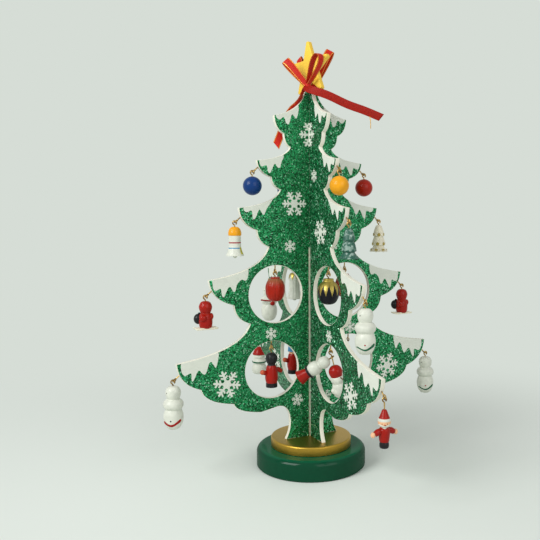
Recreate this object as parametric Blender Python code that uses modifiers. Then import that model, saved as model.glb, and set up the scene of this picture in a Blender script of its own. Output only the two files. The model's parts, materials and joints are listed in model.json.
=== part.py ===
"""A wooden tabletop fir tree: two cross-lapped panels on a double disc, hung with small turned ornaments.

The tree stands on the plane z = 0 with its axis on Z. Panel A lies in the XZ plane and panel B in the YZ
plane, so that they make four wings: west (-X), south (-Y), east (+X) and north (+Y). Every ornament hangs
by its own screw eye from a second screw eye in the edge of a panel, and swings about the Y direction.
"""
import math

import bmesh
import bpy
from mathutils import Matrix, Vector

MM = 0.001

# Clearances between pieces
FIT_GAP = 0.3 * MM
LOOSE_LAP_GAP = 0.7 * MM
CUT_OVERRUN = 2.0 * MM
MERGE_DISTANCE = 0.01 * MM

# Base: a lacquered disc and a smaller painted plate on it
DISC_RADIUS = 40.0 * MM
DISC_HEIGHT = 14.5 * MM
DISC_ROUNDING = 4.0 * MM
DISC_FOOT_CHAMFER = 1.0 * MM
PLATE_RADIUS = 29.5 * MM
PLATE_HEIGHT = 6.5 * MM
PLATE_ROUNDING = 1.2 * MM
DISC_STEPS = 48
ROUNDING_STEPS = 4

# Panels
PANEL_THICKNESS = 3.0 * MM
PANEL_HEIGHT = 249.5 * MM
PANEL_REACH = 100.0 * MM
APEX_HALF_WIDTH = 4.5 * MM
LAP_HEIGHT_SHARE = 0.555
TENON_HALF_WIDTH = 14.0 * MM
TENON_DEPTH = 11.0 * MM
TIER_REACH_SHARES = (0.285, 0.415, 0.55, 0.77, 1.0)
TIER_HEIGHT_SHARES = (0.926, 0.8, 0.669, 0.473, 0.2525)
NOTCH_REACH_SHARES = (0.57, 0.575, 0.6, 0.615)
NOTCH_DROP_SHARES = (0.69, 0.61, 0.555, 0.575)
SWEEP_BEND_SHARES = (0.12, 0.78)
CUSP_SHARES = (0.6, 0.57)
SCALLOP_BEND_SHARES = (0.08, 0.77)
SWEEP_STEPS = 7
SCALLOP_STEPS = 4

# Skirt: the scalloped lower edge of the last tier, and the trunk below it
SKIRT_CUSP_REACH_SHARES = (0.834, 0.601, 0.4)
SKIRT_CUSP_HEIGHT_SHARES = (0.1755, 0.1242, 0.0906)
ARMPIT_REACH = 26.5 * MM
ARMPIT_HEIGHT_SHARE = 0.101
TRUNK_NECK_HALF_WIDTH = 17.2 * MM
TRUNK_NECK_HEIGHT_SHARE = 0.0473
TRUNK_FOOT_HALF_WIDTH = 20.7 * MM

# Round holes in each wing, upper and lower
HOLE_RADIUS_SHARE = 0.08216
HOLE_REACH_SHARES = (0.28, 0.312)
HOLE_HEIGHT_SHARES = (0.4257, 0.2104)
HOLE_STEPS = 28

# Screw eyes
WIRE_RADIUS = 0.45 * MM
EYE_RADIUS = 1.35 * MM
EYE_NECK = 2.5 * MM
ORNAMENT_NECK = 0.8 * MM
SHANK_DEPTH = 4.0 * MM
EYE_TILT = math.radians(50)
EYE_PLACE_SHARE = 0.3
EYE_SINK_SHARE = 0.33
EYE_STEPS = 9
WIRE_STEPS = 5
BORE_STEPS = 8

# Star with its pin
STAR_RADIUS = 19.3 * MM
STAR_INNER_SHARE = 0.428
STAR_TIP_WIDTH = 2.0 * MM
STAR_THICKNESS = 3.6 * MM
STAR_POINTS = 5
STAR_RISE = 15.24 * MM
STAR_TURN = math.radians(17.2)
STAR_LEAN = math.radians(3.7)
PIN_RADIUS = 0.8 * MM
PIN_SINK = 8.0 * MM

# Ribbon bow, tied round the pin with a knot on each face of the star
RIBBON_WIDTH = 5.0 * MM
RIBBON_THICKNESS = 0.4 * MM
RIBBON_PINCH_SHARE = 0.55
KNOT_RADIUS = 2.6 * MM
KNOT_OFFSET = 5.6 * MM
KNOT_SIDE = 3.3 * MM
KNOT_RISE = 2.6 * MM
KNOT_SEGMENTS = 10
STRAP_RADIUS = 1.9 * MM
STRAND_SPREAD = 0.5 * MM
FACE_LOOP_BULGE = 1.6 * MM
OPEN_LOOP_BULGE = 3.6 * MM
LOOP_STEPS = 12
TAIL_STEPS = 6

# Where each loop folds: off the star's face, along its width, and above the panels' top
LEFT_LOOP_FOLD = (14.0 * MM, -10.8 * MM, 21.2 * MM)
MIDDLE_LOOP_FOLD = (6.6 * MM, 15.0 * MM, 27.2 * MM)
RIGHT_LOOP_FOLD = (-8.0 * MM, 13.9 * MM, 27.2 * MM)
HIDDEN_LOOP_FOLD = (-6.2 * MM, -19.4 * MM, 24.2 * MM)

# The two tails, as the bends and ends of their routes from the panels' top on the tree's axis
RIGHT_TAIL_BEND = (3.5 * MM, -25.8 * MM, -6.8 * MM)
RIGHT_TAIL_END = (42.3 * MM, -31.3 * MM, -19.3 * MM)
LEFT_TAIL_BEND = (-11.5 * MM, 4.5 * MM, -2.8 * MM)
LEFT_TAIL_MIDDLE = (-13.3 * MM, 5.0 * MM, -13.1 * MM)
LEFT_TAIL_DROP = (-21.0 * MM, 5.5 * MM, -23.8 * MM)
LEFT_TAIL_END = (-24.0 * MM, 6.0 * MM, -42.3 * MM)

# Turned ornaments
TURN_STEPS = 10
LUMP_SEGMENTS = 8
LUMP_RINGS = 6
SHARP_ANGLE = math.radians(40)
BALL_RADIUS = 6.5 * MM
BALL_STEPS = 8
BELL_HEIGHT = 20.0 * MM
BELL_RADIUS = 6.2 * MM
CLAPPER_RADIUS = 1.6 * MM
FIR_HEIGHT = 20.0 * MM
FIR_RADIUS = 6.7 * MM
OVAL_HEIGHT = 17.4 * MM
OVAL_RADIUS = 6.9 * MM
CAPPED_HEIGHT = 18.0 * MM
CAPPED_RADIUS = 7.7 * MM
SNOWMAN_HEIGHT = 29.2 * MM
SNOWMAN_RADIUS = 6.8 * MM
HATTED_HEIGHT = 23.5 * MM
HATTED_RADIUS = 6.5 * MM
LOW_HANG = 7.2 * MM
GUARD_HEIGHT = 25.0 * MM
GUARD_RADIUS = 4.6 * MM
SANTA_HEIGHT = 24.0 * MM
SANTA_RADIUS = 4.3 * MM
SANTA_LOW = 3.4 * MM
SKIER_HEIGHT = 18.6 * MM
SKIER_RADIUS = 4.6 * MM
SKI_LENGTH = 17.0 * MM
SKI_WIDTH = 2.6 * MM
SKI_THICKNESS = 1.4 * MM
SACK_RADIUS = 3.4 * MM
SACK_HEIGHT_SHARE = 0.33
POLES_SHARE = 0.5
ARM_RADIUS = 1.7 * MM
ARM_LENGTH = 6.6 * MM
ARM_SPREAD = math.radians(65)
ARM_STEPS = 6
CAUGHT_HEIGHT = 25.0 * MM
CAUGHT_RADIUS = 5.2 * MM
CAUGHT_HANG = 3.9 * MM
CAUGHT_FALL = math.radians(34)
CAUGHT_HEADING = math.radians(141)
CAUGHT_PULL = math.radians(15.3)

# Turned profiles, as shares of the ornament's radius and height from top to bottom
BELL_SHARES = ((0, 1), (0.42, 0.985), (0.67, 0.89), (0.73, 0.73), (0.67, 0.68), (0.67, 0.27), (0.84, 0.1),
               (1, 0), (0, 0))
FIR_SHARES = ((0, 1), (0.2, 0.97), (0.62, 0.64), (0.46, 0.61), (0.75, 0.27), (0.6, 0.24), (1, 0.03),
              (0.88, 0), (0, 0))
OVAL_SHARES = ((0, 1), (0.48, 1), (0.5, 0.95), (0.82, 0.82), (1, 0.55), (0.97, 0.32), (0.78, 0.1), (0.4, 0),
               (0, 0))
CAPPED_SHARES = ((0, 1), (0.46, 1), (0.48, 0.89), (0.86, 0.73), (1, 0.47), (0.92, 0.22), (0.62, 0.04), (0, 0))
SNOWMAN_SHARES = ((0, 1), (0.5, 0.975), (0.75, 0.855), (0.62, 0.7), (1, 0.6), (0.8, 0.465), (0.97, 0.32),
                  (0.93, 0.19), (0.64, 0.045), (0.4, 0), (0, 0))
HATTED_SHARES = ((0, 1), (0.4, 0.97), (0.74, 0.84), (0.86, 0.7), (0.7, 0.58), (0.92, 0.46), (0.74, 0.36),
                 (1, 0.22), (0.86, 0.04), (0.4, 0), (0, 0))
GUARD_SHARES = ((0, 1), (0.62, 0.97), (0.98, 0.86), (0.92, 0.7), (0.6, 0.63), (0.86, 0.58), (0.92, 0.4),
                (1, 0.16), (0.9, 0.15), (0.86, 0), (0, 0))
SANTA_SHARES = ((0, 1), (0.3, 0.99), (0.76, 0.79), (1, 0.73), (0.92, 0.62), (0.55, 0.55), (0.82, 0.49),
                (0.84, 0.36), (0.72, 0.18), (0.64, 0.16), (0.72, 0.08), (0.5, 0), (0, 0))
SKIER_SHARES = ((0, 1), (0.56, 0.96), (0.95, 0.8), (0.8, 0.6), (0.95, 0.48), (1, 0.22), (0.8, 0.03), (0.5, 0),
                (0, 0))
CAUGHT_SHARES = ((0, 1), (0.5, 0.975), (0.83, 0.84), (0.6, 0.69), (0.96, 0.55), (0.98, 0.44), (0.62, 0.31),
                 (0.62, 0.27), (1, 0), (0, 0))
SHOULDER_SHARE = 0.52

PLATE_TOP = DISC_HEIGHT + FIT_GAP + PLATE_HEIGHT
PANEL_TOP = PLATE_TOP + PANEL_HEIGHT
LAP_HEIGHT = PLATE_TOP + PANEL_HEIGHT * LAP_HEIGHT_SHARE
HOLE_RADIUS = PANEL_HEIGHT * HOLE_RADIUS_SHARE
HALF_THICKNESS = PANEL_THICKNESS / 2
STAR_CENTRE = PANEL_TOP + STAR_RISE
EYE_CENTRE = EYE_NECK + WIRE_RADIUS + EYE_RADIUS
LINK_DROP = 2 * (EYE_RADIUS - WIRE_RADIUS) - FIT_GAP - EYE_RADIUS
BODY_DROP = LINK_DROP + EYE_RADIUS + WIRE_RADIUS + ORNAMENT_NECK

WINGS = {"west": Vector((-1, 0)), "south": Vector((0, -1)), "east": Vector((1, 0)), "north": Vector((0, 1))}

# What hangs on each wing, from its second tier down to its fifth and then in its upper and lower hole
HANGING = {
    "west": (("ball", "blue_paint"), ("bell", "white_paint"), ("skier", "red_paint"),
             ("snowman", "white_paint"), ("oval", "red_paint"), ("guard", "red_paint")),
    "south": (("ball", "yellow_paint"), ("fir", "green_paint"), ("snowman", "white_paint"),
              ("santa", "red_paint"), ("capped", "blue_paint"), ("hatted_low", "white_paint")),
    "east": (("ball", "dark_red_paint"), ("fir", "white_paint"), ("skier", "red_paint"),
             ("snowman", "white_paint"), ("oval", "red_paint"), None),
    "north": (("ball", "blue_paint"), ("bell", "white_paint"), ("snowman", "white_paint"),
              ("hatted", "white_paint"), ("bell", "white_paint"), ("guard", "blue_paint")),
}
CAUGHT_WING, CAUGHT_PLACE = "south", "lower_hole"

COLOURS = {
    "green_glitter": ((0.02, 0.19, 0.06), 0.35, 0.0),
    "green_gloss": ((0.01, 0.10, 0.06), 0.12, 0.0),
    "gold_paint": ((0.22, 0.16, 0.05), 0.4, 0.6),
    "yellow_paint": ((0.85, 0.55, 0.08), 0.5, 0.0),
    "red_satin": ((0.6, 0.03, 0.02), 0.35, 0.0),
    "brass": ((0.5, 0.36, 0.12), 0.25, 1.0),
    "white_paint": ((0.8, 0.8, 0.74), 0.4, 0.0),
    "red_paint": ((0.55, 0.03, 0.02), 0.3, 0.0),
    "blue_paint": ((0.02, 0.05, 0.3), 0.2, 0.0),
    "dark_red_paint": ((0.25, 0.02, 0.02), 0.25, 0.0),
    "green_paint": ((0.03, 0.2, 0.08), 0.4, 0.0),
}


def clear_scene():
    for item in list(bpy.data.objects):
        bpy.data.objects.remove(item, do_unlink=True)


def new_collection(name):
    collection = bpy.data.collections.new(name)
    bpy.context.scene.collection.children.link(collection)
    return collection


def material(name):
    """The named finish, made at its first use."""
    found = bpy.data.materials.get(name)
    if found:
        return found
    colour, roughness, metallic = COLOURS[name]
    finish = bpy.data.materials.new(name)
    finish.use_nodes = True
    shader = finish.node_tree.nodes["Principled BSDF"]
    shader.inputs["Base Color"].default_value = (*colour, 1.0)
    shader.inputs["Roughness"].default_value = roughness
    shader.inputs["Metallic"].default_value = metallic
    finish.diffuse_color = (*colour, 1.0)
    return finish


def add_object(name, data, collection):
    item = bpy.data.objects.new(name, data)
    collection.objects.link(item)
    return item


def take_into(item, name, collection):
    """Names a new primitive and moves it to its own collection."""
    item.name = name
    for owner in list(item.users_collection):
        owner.objects.unlink(item)
    collection.objects.link(item)
    return item


def finished_mesh(source, name):
    """A plain mesh of the object as its modifiers leave it, in world space, with its caps welded."""
    depsgraph = bpy.context.evaluated_depsgraph_get()
    mesh = bpy.data.meshes.new_from_object(source.evaluated_get(depsgraph))
    mesh.transform(source.matrix_world)
    mesh.name = name
    shape = bmesh.new()
    shape.from_mesh(mesh)
    bmesh.ops.remove_doubles(shape, verts=shape.verts, dist=MERGE_DISTANCE)
    bmesh.ops.recalc_face_normals(shape, faces=shape.faces)
    shape.to_mesh(mesh)
    shape.free()
    return mesh


def frozen(source, collection):
    """Replaces a worked object by a plain mesh object of the same shape."""
    bpy.context.view_layer.update()
    name = source.name
    mesh = finished_mesh(source, name)
    bpy.data.objects.remove(source, do_unlink=True)
    return add_object(name, mesh, collection)


def combine(target, tool, operation):
    step = target.modifiers.new(f"{operation.lower()}_{tool.name}", "BOOLEAN")
    step.object = tool
    step.operation = operation
    step.solver = "EXACT"


def as_tool(item):
    item.hide_render = True
    item.display_type = "WIRE"
    return item


def bend(start, control, end, steps):
    """Points of a quadratic curve, without its start."""
    points = []
    for step in range(1, steps + 1):
        t = step / steps
        points.append(start * (1 - t) ** 2 + control * (2 * t * (1 - t)) + end * t ** 2)
    return points


def control_between(start, end, shares):
    return Vector((start.x + (end.x - start.x) * shares[0], start.y + (end.y - start.y) * shares[1]))


def tier_tips():
    return [
        Vector((PANEL_REACH * reach, PLATE_TOP + PANEL_HEIGHT * height))
        for reach, height in zip(TIER_REACH_SHARES, TIER_HEIGHT_SHARES)
    ]


def tier_notches():
    tips = tier_tips()
    notches = []
    for index, (reach, drop) in enumerate(zip(NOTCH_REACH_SHARES, NOTCH_DROP_SHARES)):
        fall = (tips[index].y - tips[index + 1].y) * drop
        notches.append(Vector((tips[index].x * reach, tips[index].y - fall)))
    return notches


def skirt_cusps():
    return [
        Vector((PANEL_REACH * reach, PLATE_TOP + PANEL_HEIGHT * height))
        for reach, height in zip(SKIRT_CUSP_REACH_SHARES, SKIRT_CUSP_HEIGHT_SHARES)
    ]


def first_cusp(tier):
    """The cusp where the first scallop below a tier's tip ends."""
    tips = tier_tips()
    if tier == len(tips) - 1:
        return skirt_cusps()[0]
    notch = tier_notches()[tier]
    return control_between(tips[tier], notch, CUSP_SHARES)


def scallop(start, end):
    return bend(start, control_between(start, end, SCALLOP_BEND_SHARES), end, SCALLOP_STEPS)


def wing_outline():
    """Reach and height along one wing's edge, from the apex down to the foot of the trunk."""
    tips, notches, cusps = tier_tips(), tier_notches(), skirt_cusps()
    points = [Vector((APEX_HALF_WIDTH, PANEL_TOP))]
    for tier, tip in enumerate(tips):
        points += bend(points[-1], control_between(points[-1], tip, SWEEP_BEND_SHARES), tip, SWEEP_STEPS)
        points += scallop(tip, first_cusp(tier))
        if tier < len(notches):
            points += scallop(points[-1], notches[tier])
    for cusp in cusps[1:]:
        points += scallop(points[-1], cusp)
    armpit = Vector((ARMPIT_REACH, PLATE_TOP + PANEL_HEIGHT * ARMPIT_HEIGHT_SHARE))
    neck = Vector((TRUNK_NECK_HALF_WIDTH, PLATE_TOP + PANEL_HEIGHT * TRUNK_NECK_HEIGHT_SHARE))
    foot = Vector((TRUNK_FOOT_HALF_WIDTH, PLATE_TOP + FIT_GAP))
    points.append(armpit)
    points += bend(armpit, Vector((neck.x, armpit.y)), neck, SCALLOP_STEPS)
    points += bend(neck, Vector((neck.x, (neck.y + foot.y) / 2)), foot, SCALLOP_STEPS)
    return points


def half_panel(slot_from_top):
    """One half of a panel's outline, with its tenon and its half of the lap slot, as a closed run."""
    tenon_foot = PLATE_TOP - TENON_DEPTH
    outer = wing_outline()
    tenon = [Vector((TENON_HALF_WIDTH, PLATE_TOP + FIT_GAP)), Vector((TENON_HALF_WIDTH, tenon_foot))]
    if slot_from_top:
        slot = HALF_THICKNESS + FIT_GAP
        lap = LAP_HEIGHT - FIT_GAP
        inner = [Vector((0, lap)), Vector((slot, lap)), Vector((slot, PANEL_TOP))]
        return inner + outer + tenon + [Vector((0, tenon_foot))]
    slot = HALF_THICKNESS + LOOSE_LAP_GAP
    return [Vector((0, PANEL_TOP))] + outer + tenon + [Vector((slot, tenon_foot)), Vector((slot, LAP_HEIGHT)),
                                                       Vector((0, LAP_HEIGHT))]


def add_spline(curve, points):
    spline = curve.splines.new("POLY")
    spline.points.add(len(points) - 1)
    for target, point in zip(spline.points, points):
        target.co = (point.x, point.y, 0, 1)
    spline.use_cyclic_u = True


def flat_curve(name, outlines, thickness, collection):
    """A flat piece drawn in the XY plane, with its holes as further outlines."""
    curve = bpy.data.curves.new(name, "CURVE")
    curve.dimensions = "2D"
    curve.fill_mode = "BOTH"
    curve.extrude = thickness / 2
    for points in outlines:
        add_spline(curve, points)
    return add_object(name, curve, collection)


def circle(centre, radius, steps):
    turns = [2 * math.pi * step / steps for step in range(steps)]
    return [centre + Vector((radius * math.cos(turn), radius * math.sin(turn))) for turn in turns]


def hole_centres():
    return [
        Vector((PANEL_REACH * reach, PLATE_TOP + PANEL_HEIGHT * height))
        for reach, height in zip(HOLE_REACH_SHARES, HOLE_HEIGHT_SHARES)
    ]


def mirrored(points):
    """The half outline followed by its mirror image, without the doubled points on the axis."""
    return points + [Vector((-point.x, point.y)) for point in reversed(points) if point.x > MERGE_DISTANCE]


def rod(name, start, end, radius, steps, collection):
    """A straight round bar between two points."""
    bpy.ops.mesh.primitive_cylinder_add(vertices=steps, radius=radius, depth=(end - start).length)
    bar = take_into(bpy.context.object, name, collection)
    bar.location = (start + end) / 2
    bar.rotation_euler = (end - start).to_track_quat("Z", "Y").to_euler()
    return bar


def box(name, size, centre, collection):
    mesh = bpy.data.meshes.new(name)
    shape = bmesh.new()
    bmesh.ops.create_cube(shape, size=1)
    bmesh.ops.scale(shape, vec=size, verts=shape.verts)
    shape.to_mesh(mesh)
    shape.free()
    block = add_object(name, mesh, collection)
    block.location = centre
    return block


def eye_places():
    """Where each wing's screw eyes enter it, as name, point and direction in reach and height."""
    places = []
    tips = tier_tips()
    for tier in range(1, len(tips)):
        cusp = first_cusp(tier)
        control = control_between(tips[tier], cusp, SCALLOP_BEND_SHARES)
        t = EYE_PLACE_SHARE
        entry = tips[tier] * (1 - t) ** 2 + control * (2 * t * (1 - t)) + cusp * t ** 2
        places.append((f"tier{tier + 1}", entry, Vector((math.sin(EYE_TILT), -math.cos(EYE_TILT)))))
    for name, centre in zip(("upper_hole", "lower_hole"), hole_centres()):
        places.append((name, centre + Vector((0, HOLE_RADIUS)), Vector((0, -1))))
    return places


def in_wing(wing, flat):
    """A point or direction of reach and height, in space on the named wing."""
    side = WINGS[wing]
    return Vector((side.x * flat.x, side.y * flat.x, flat.y))


def make_panel(name, wings, slot_from_top, parts, tools):
    outlines = [mirrored(half_panel(slot_from_top))]
    for centre in hole_centres():
        for side in (-1, 1):
            outlines.append(circle(Vector((side * centre.x, centre.y)), HOLE_RADIUS, HOLE_STEPS))
    flat = flat_curve(name, outlines, PANEL_THICKNESS, parts)
    upright = Matrix.Rotation(math.pi / 2, 4, "X")
    quarter = Matrix.Rotation(math.pi / 2, 4, "Z") if wings[0] == "south" else Matrix.Identity(4)
    flat.matrix_world = quarter @ upright
    panel = frozen(flat, parts)
    for wing in wings:
        for place, entry, direction in eye_places():
            start = in_wing(wing, entry + direction * CUT_OVERRUN)
            end = in_wing(wing, entry - direction * (SHANK_DEPTH + FIT_GAP))
            bore = rod(f"bore_{wing}_{place}", start, end, WIRE_RADIUS + FIT_GAP, BORE_STEPS, tools)
            combine(panel, as_tool(bore), "DIFFERENCE")
    if not slot_from_top:
        top = Vector((0, 0, PANEL_TOP + CUT_OVERRUN))
        floor = Vector((0, 0, PANEL_TOP - PIN_SINK - FIT_GAP))
        bore = rod("pin_bore", top, floor, PIN_RADIUS + FIT_GAP, BORE_STEPS, tools)
        combine(panel, as_tool(bore), "DIFFERENCE")
    panel.data.materials.append(material("green_glitter"))
    return panel


def turned(name, profile, steps, collection):
    """A turned shape: the profile's radius and height run down its outer side from top to bottom."""
    mesh = bpy.data.meshes.new(name)
    mesh.from_pydata([(radius, 0, height) for radius, height in profile],
                     [(index, index + 1) for index in range(len(profile) - 1)], [])
    shape = add_object(name, mesh, collection)
    screw = shape.modifiers.new("turn", "SCREW")
    screw.steps = steps
    screw.render_steps = steps
    screw.use_merge_vertices = True
    screw.merge_threshold = MERGE_DISTANCE
    return shape


def rounded_edge(radius, height, rounding):
    """Points of a disc's rounded upper edge, from its top face down to its side."""
    points = []
    for step in range(ROUNDING_STEPS + 1):
        angle = math.pi / 2 * step / ROUNDING_STEPS
        points.append((radius - rounding * (1 - math.sin(angle)), height - rounding * (1 - math.cos(angle))))
    return points


def make_base(parts, tools):
    chamfer = DISC_FOOT_CHAMFER
    disc = turned("base_disc", [(0, DISC_HEIGHT)] + rounded_edge(DISC_RADIUS, DISC_HEIGHT, DISC_ROUNDING)
                  + [(DISC_RADIUS, chamfer), (DISC_RADIUS - chamfer, 0), (0, 0)], DISC_STEPS, parts)
    foot = PLATE_TOP - PLATE_HEIGHT
    plate = turned("gold_plate", [(0, PLATE_TOP)] + rounded_edge(PLATE_RADIUS, PLATE_TOP, PLATE_ROUNDING)
                   + [(PLATE_RADIUS, foot), (0, foot)], DISC_STEPS, parts)
    height = TENON_DEPTH + FIT_GAP + CUT_OVERRUN
    middle = PLATE_TOP + CUT_OVERRUN - height / 2
    length = 2 * (TENON_HALF_WIDTH + FIT_GAP)
    width = PANEL_THICKNESS + 2 * FIT_GAP
    along_x = box("mortise_x", (length, width, height), (0, 0, middle), tools)
    along_y = box("mortise_y", (width, length, height), (0, 0, middle), tools)
    for piece, finish in ((disc, "green_gloss"), (plate, "gold_paint")):
        for tool in (along_x, along_y):
            combine(piece, as_tool(tool), "DIFFERENCE")
        piece.data.materials.append(material(finish))


def star_frame():
    """Turns the star's drawing plane upright, with its face to the south-west."""
    lean = Matrix.Rotation(STAR_LEAN, 4, "Z")
    upright = Matrix.Rotation(math.pi / 2, 4, "X")
    turn = Matrix.Rotation(STAR_TURN - math.pi / 2, 4, "Z")
    return Matrix.Translation((0, 0, STAR_CENTRE)) @ turn @ upright @ lean


def star_outline():
    """Five blunt arms: two points at each tip and one in each crotch."""
    points = []
    step = math.pi / STAR_POINTS
    half_tip = math.asin(STAR_TIP_WIDTH / 2 / STAR_RADIUS)
    for arm in range(STAR_POINTS):
        middle = math.pi / 2 + 2 * step * arm
        for angle, radius in ((middle - half_tip, STAR_RADIUS), (middle + half_tip, STAR_RADIUS),
                              (middle + step, STAR_RADIUS * STAR_INNER_SHARE)):
            points.append(Vector((radius * math.cos(angle), radius * math.sin(angle))))
    return points


def make_star(parts, tools):
    flat = flat_curve("star", [star_outline()], STAR_THICKNESS, parts)
    flat.matrix_world = star_frame()
    star = frozen(flat, parts)
    crotch = STAR_CENTRE - STAR_RADIUS * STAR_INNER_SHARE
    pin_top = crotch + PIN_SINK / 2
    bore = rod("star_bore", Vector((0, 0, crotch - CUT_OVERRUN)), Vector((0, 0, pin_top + FIT_GAP)),
               PIN_RADIUS + FIT_GAP, BORE_STEPS, tools)
    combine(star, as_tool(bore), "DIFFERENCE")
    star.data.materials.append(material("yellow_paint"))
    pin = rod("star_pin", Vector((0, 0, PANEL_TOP - PIN_SINK)), Vector((0, 0, pin_top)), PIN_RADIUS,
              BORE_STEPS, parts)
    pin.data.materials.append(material("brass"))


def eye_mesh(name, shank_length, tools):
    """A screw eye with its ring centre at the origin, its ring in the XZ plane and its shank along +Z."""
    bpy.ops.mesh.primitive_torus_add(major_radius=EYE_RADIUS, minor_radius=WIRE_RADIUS,
                                     rotation=(math.pi / 2, 0, 0), major_segments=EYE_STEPS,
                                     minor_segments=WIRE_STEPS)
    ring = take_into(bpy.context.object, name, tools)
    shank = rod(f"{name}_shank", Vector((0, 0, EYE_RADIUS)), Vector((0, 0, EYE_RADIUS + shank_length)),
                WIRE_RADIUS, WIRE_STEPS, tools)
    combine(ring, shank, "UNION")
    bpy.context.view_layer.update()
    mesh = finished_mesh(ring, name)
    bpy.data.objects.remove(ring, do_unlink=True)
    bpy.data.objects.remove(shank, do_unlink=True)
    return mesh


def make_panel_eyes(parts, tools):
    shank = WIRE_RADIUS + EYE_NECK + SHANK_DEPTH
    mesh = eye_mesh("panel_eye", shank, tools)
    mesh.materials.append(material("brass"))
    for wing in WINGS:
        for place, entry, direction in eye_places():
            upward = in_wing(wing, direction) * -1
            across = upward.cross(Vector((1, 0, 0))) if upward.y else Vector((0, 1, 0))
            eye = add_object(f"eye_{wing}_{place}", mesh, parts)
            frame = Matrix((across, upward.cross(across), upward)).transposed().to_4x4()
            eye.matrix_world = Matrix.Translation(in_wing(wing, entry + direction * EYE_CENTRE)) @ frame


def toward(offset, side):
    """A level vector: so far off the star's face and so far along its width."""
    face = Vector((-math.cos(STAR_TURN), -math.sin(STAR_TURN), 0))
    along = Vector((math.sin(STAR_TURN), -math.cos(STAR_TURN), 0))
    return face * offset + along * side


def above_panels(rise):
    return Vector((0, 0, PANEL_TOP + rise))


def strip(name, centres, sides, collection):
    """A ribbon: a grid bent along its centres, each with its width, and given its thickness by Solidify."""
    count = len(centres)
    bpy.ops.mesh.primitive_grid_add(x_subdivisions=count - 1, y_subdivisions=1, size=1)
    ribbon = take_into(bpy.context.object, name, collection)
    for vertex in ribbon.data.vertices:
        index = round((vertex.co.x + 1 / 2) * (count - 1))
        vertex.co = centres[index] + sides[index] * vertex.co.y
    shell = ribbon.modifiers.new("thickness", "SOLIDIFY")
    shell.thickness = RIBBON_THICKNESS
    shell.offset = 0
    return ribbon


def ribbon_loop(name, knot, fold, face, bulge, collection):
    """A loop that leaves the knot, folds and comes back, its strands bulging along the given direction."""
    axis = fold - knot
    out = (face - axis * (face.dot(axis) / axis.length_squared)).normalized()
    side = axis.cross(out).normalized() * RIBBON_WIDTH
    centres, sides = [], []
    for step in range(LOOP_STEPS + 1):
        t = step / LOOP_STEPS
        reach = (1 - math.cos(2 * math.pi * t)) / 2
        spread = STRAND_SPREAD * math.cos(math.pi * t) + bulge * math.sin(2 * math.pi * t) * reach
        centres.append(knot + axis * reach + out * spread)
        sides.append(side * (RIBBON_PINCH_SHARE + (1 - RIBBON_PINCH_SHARE) * math.sin(math.pi * t)))
    return strip(name, centres, sides, collection)


def ribbon_tail(name, route, face, collection):
    """A tail along its route with its broad side turned to the given direction."""
    sides = []
    for index in range(len(route)):
        ahead = route[min(index + 1, len(route) - 1)] - route[max(index - 1, 0)]
        sides.append(ahead.cross(face).normalized() * RIBBON_WIDTH)
    return strip(name, route, sides, collection)


def make_ribbon(parts, tools):
    front = toward(KNOT_OFFSET, KNOT_SIDE) + above_panels(KNOT_RISE)
    back = toward(-KNOT_OFFSET, -KNOT_SIDE) + above_panels(KNOT_RISE)
    view = toward(1, 1).normalized()
    bow = rod("ribbon_bow", back, front, STRAP_RADIUS, BORE_STEPS, parts)
    pieces = []
    for name, centre in (("front_knot", front), ("back_knot", back)):
        bpy.ops.mesh.primitive_uv_sphere_add(segments=KNOT_SEGMENTS, ring_count=LUMP_RINGS, radius=KNOT_RADIUS,
                                             location=centre)
        pieces.append(take_into(bpy.context.object, name, tools))
    for name, knot, (offset, side, rise), out, bulge in (
        ("left_loop", front, LEFT_LOOP_FOLD, view, FACE_LOOP_BULGE),
        ("middle_loop", front, MIDDLE_LOOP_FOLD, toward(0, 1), OPEN_LOOP_BULGE),
        ("right_loop", back, RIGHT_LOOP_FOLD, view, FACE_LOOP_BULGE),
        ("hidden_loop", back, HIDDEN_LOOP_FOLD, toward(1, 0), FACE_LOOP_BULGE),
    ):
        fold = toward(offset, side) + above_panels(rise)
        pieces.append(ribbon_loop(name, knot, fold, out, bulge, tools))
    top = above_panels(0)
    right = [front] + bend(front, top + Vector(RIGHT_TAIL_BEND), top + Vector(RIGHT_TAIL_END), TAIL_STEPS)
    left = [front] + bend(front, top + Vector(LEFT_TAIL_BEND), top + Vector(LEFT_TAIL_MIDDLE), TAIL_STEPS)
    left += bend(left[-1], top + Vector(LEFT_TAIL_DROP), top + Vector(LEFT_TAIL_END), TAIL_STEPS)
    pieces.append(ribbon_tail("right_tail", right, view, tools))
    pieces.append(ribbon_tail("left_tail", left, Vector((0, 1, 0)), tools))
    for piece in pieces:
        combine(bow, as_tool(piece), "UNION")
    reach = STRAP_RADIUS + CUT_OVERRUN
    bore = rod("ribbon_bore", above_panels(KNOT_RISE - reach), above_panels(KNOT_RISE + reach),
               PIN_RADIUS + FIT_GAP, BORE_STEPS, tools)
    combine(bow, as_tool(bore), "DIFFERENCE")
    bow.data.materials.append(material("red_satin"))


def scaled_profile(shares, radius, height, drop):
    """A turned profile in real sizes, hanging below the pivot at the given drop."""
    return [(radius * across, height * (up - 1) - drop) for across, up in shares]


def ball_shares():
    angles = [math.pi * step / BALL_STEPS for step in range(BALL_STEPS + 1)]
    shares = [(math.sin(angle), (1 + math.cos(angle)) / 2) for angle in angles]
    return [(0, 1)] + shares[1:-1] + [(0, 0)]


def lump(name, centre, radii, tools):
    """A small ellipsoid to be fused with a turned body."""
    bpy.ops.mesh.primitive_uv_sphere_add(segments=LUMP_SEGMENTS, ring_count=LUMP_RINGS, radius=1,
                                         location=centre)
    ball = take_into(bpy.context.object, name, tools)
    ball.scale = radii
    return ball


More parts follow.
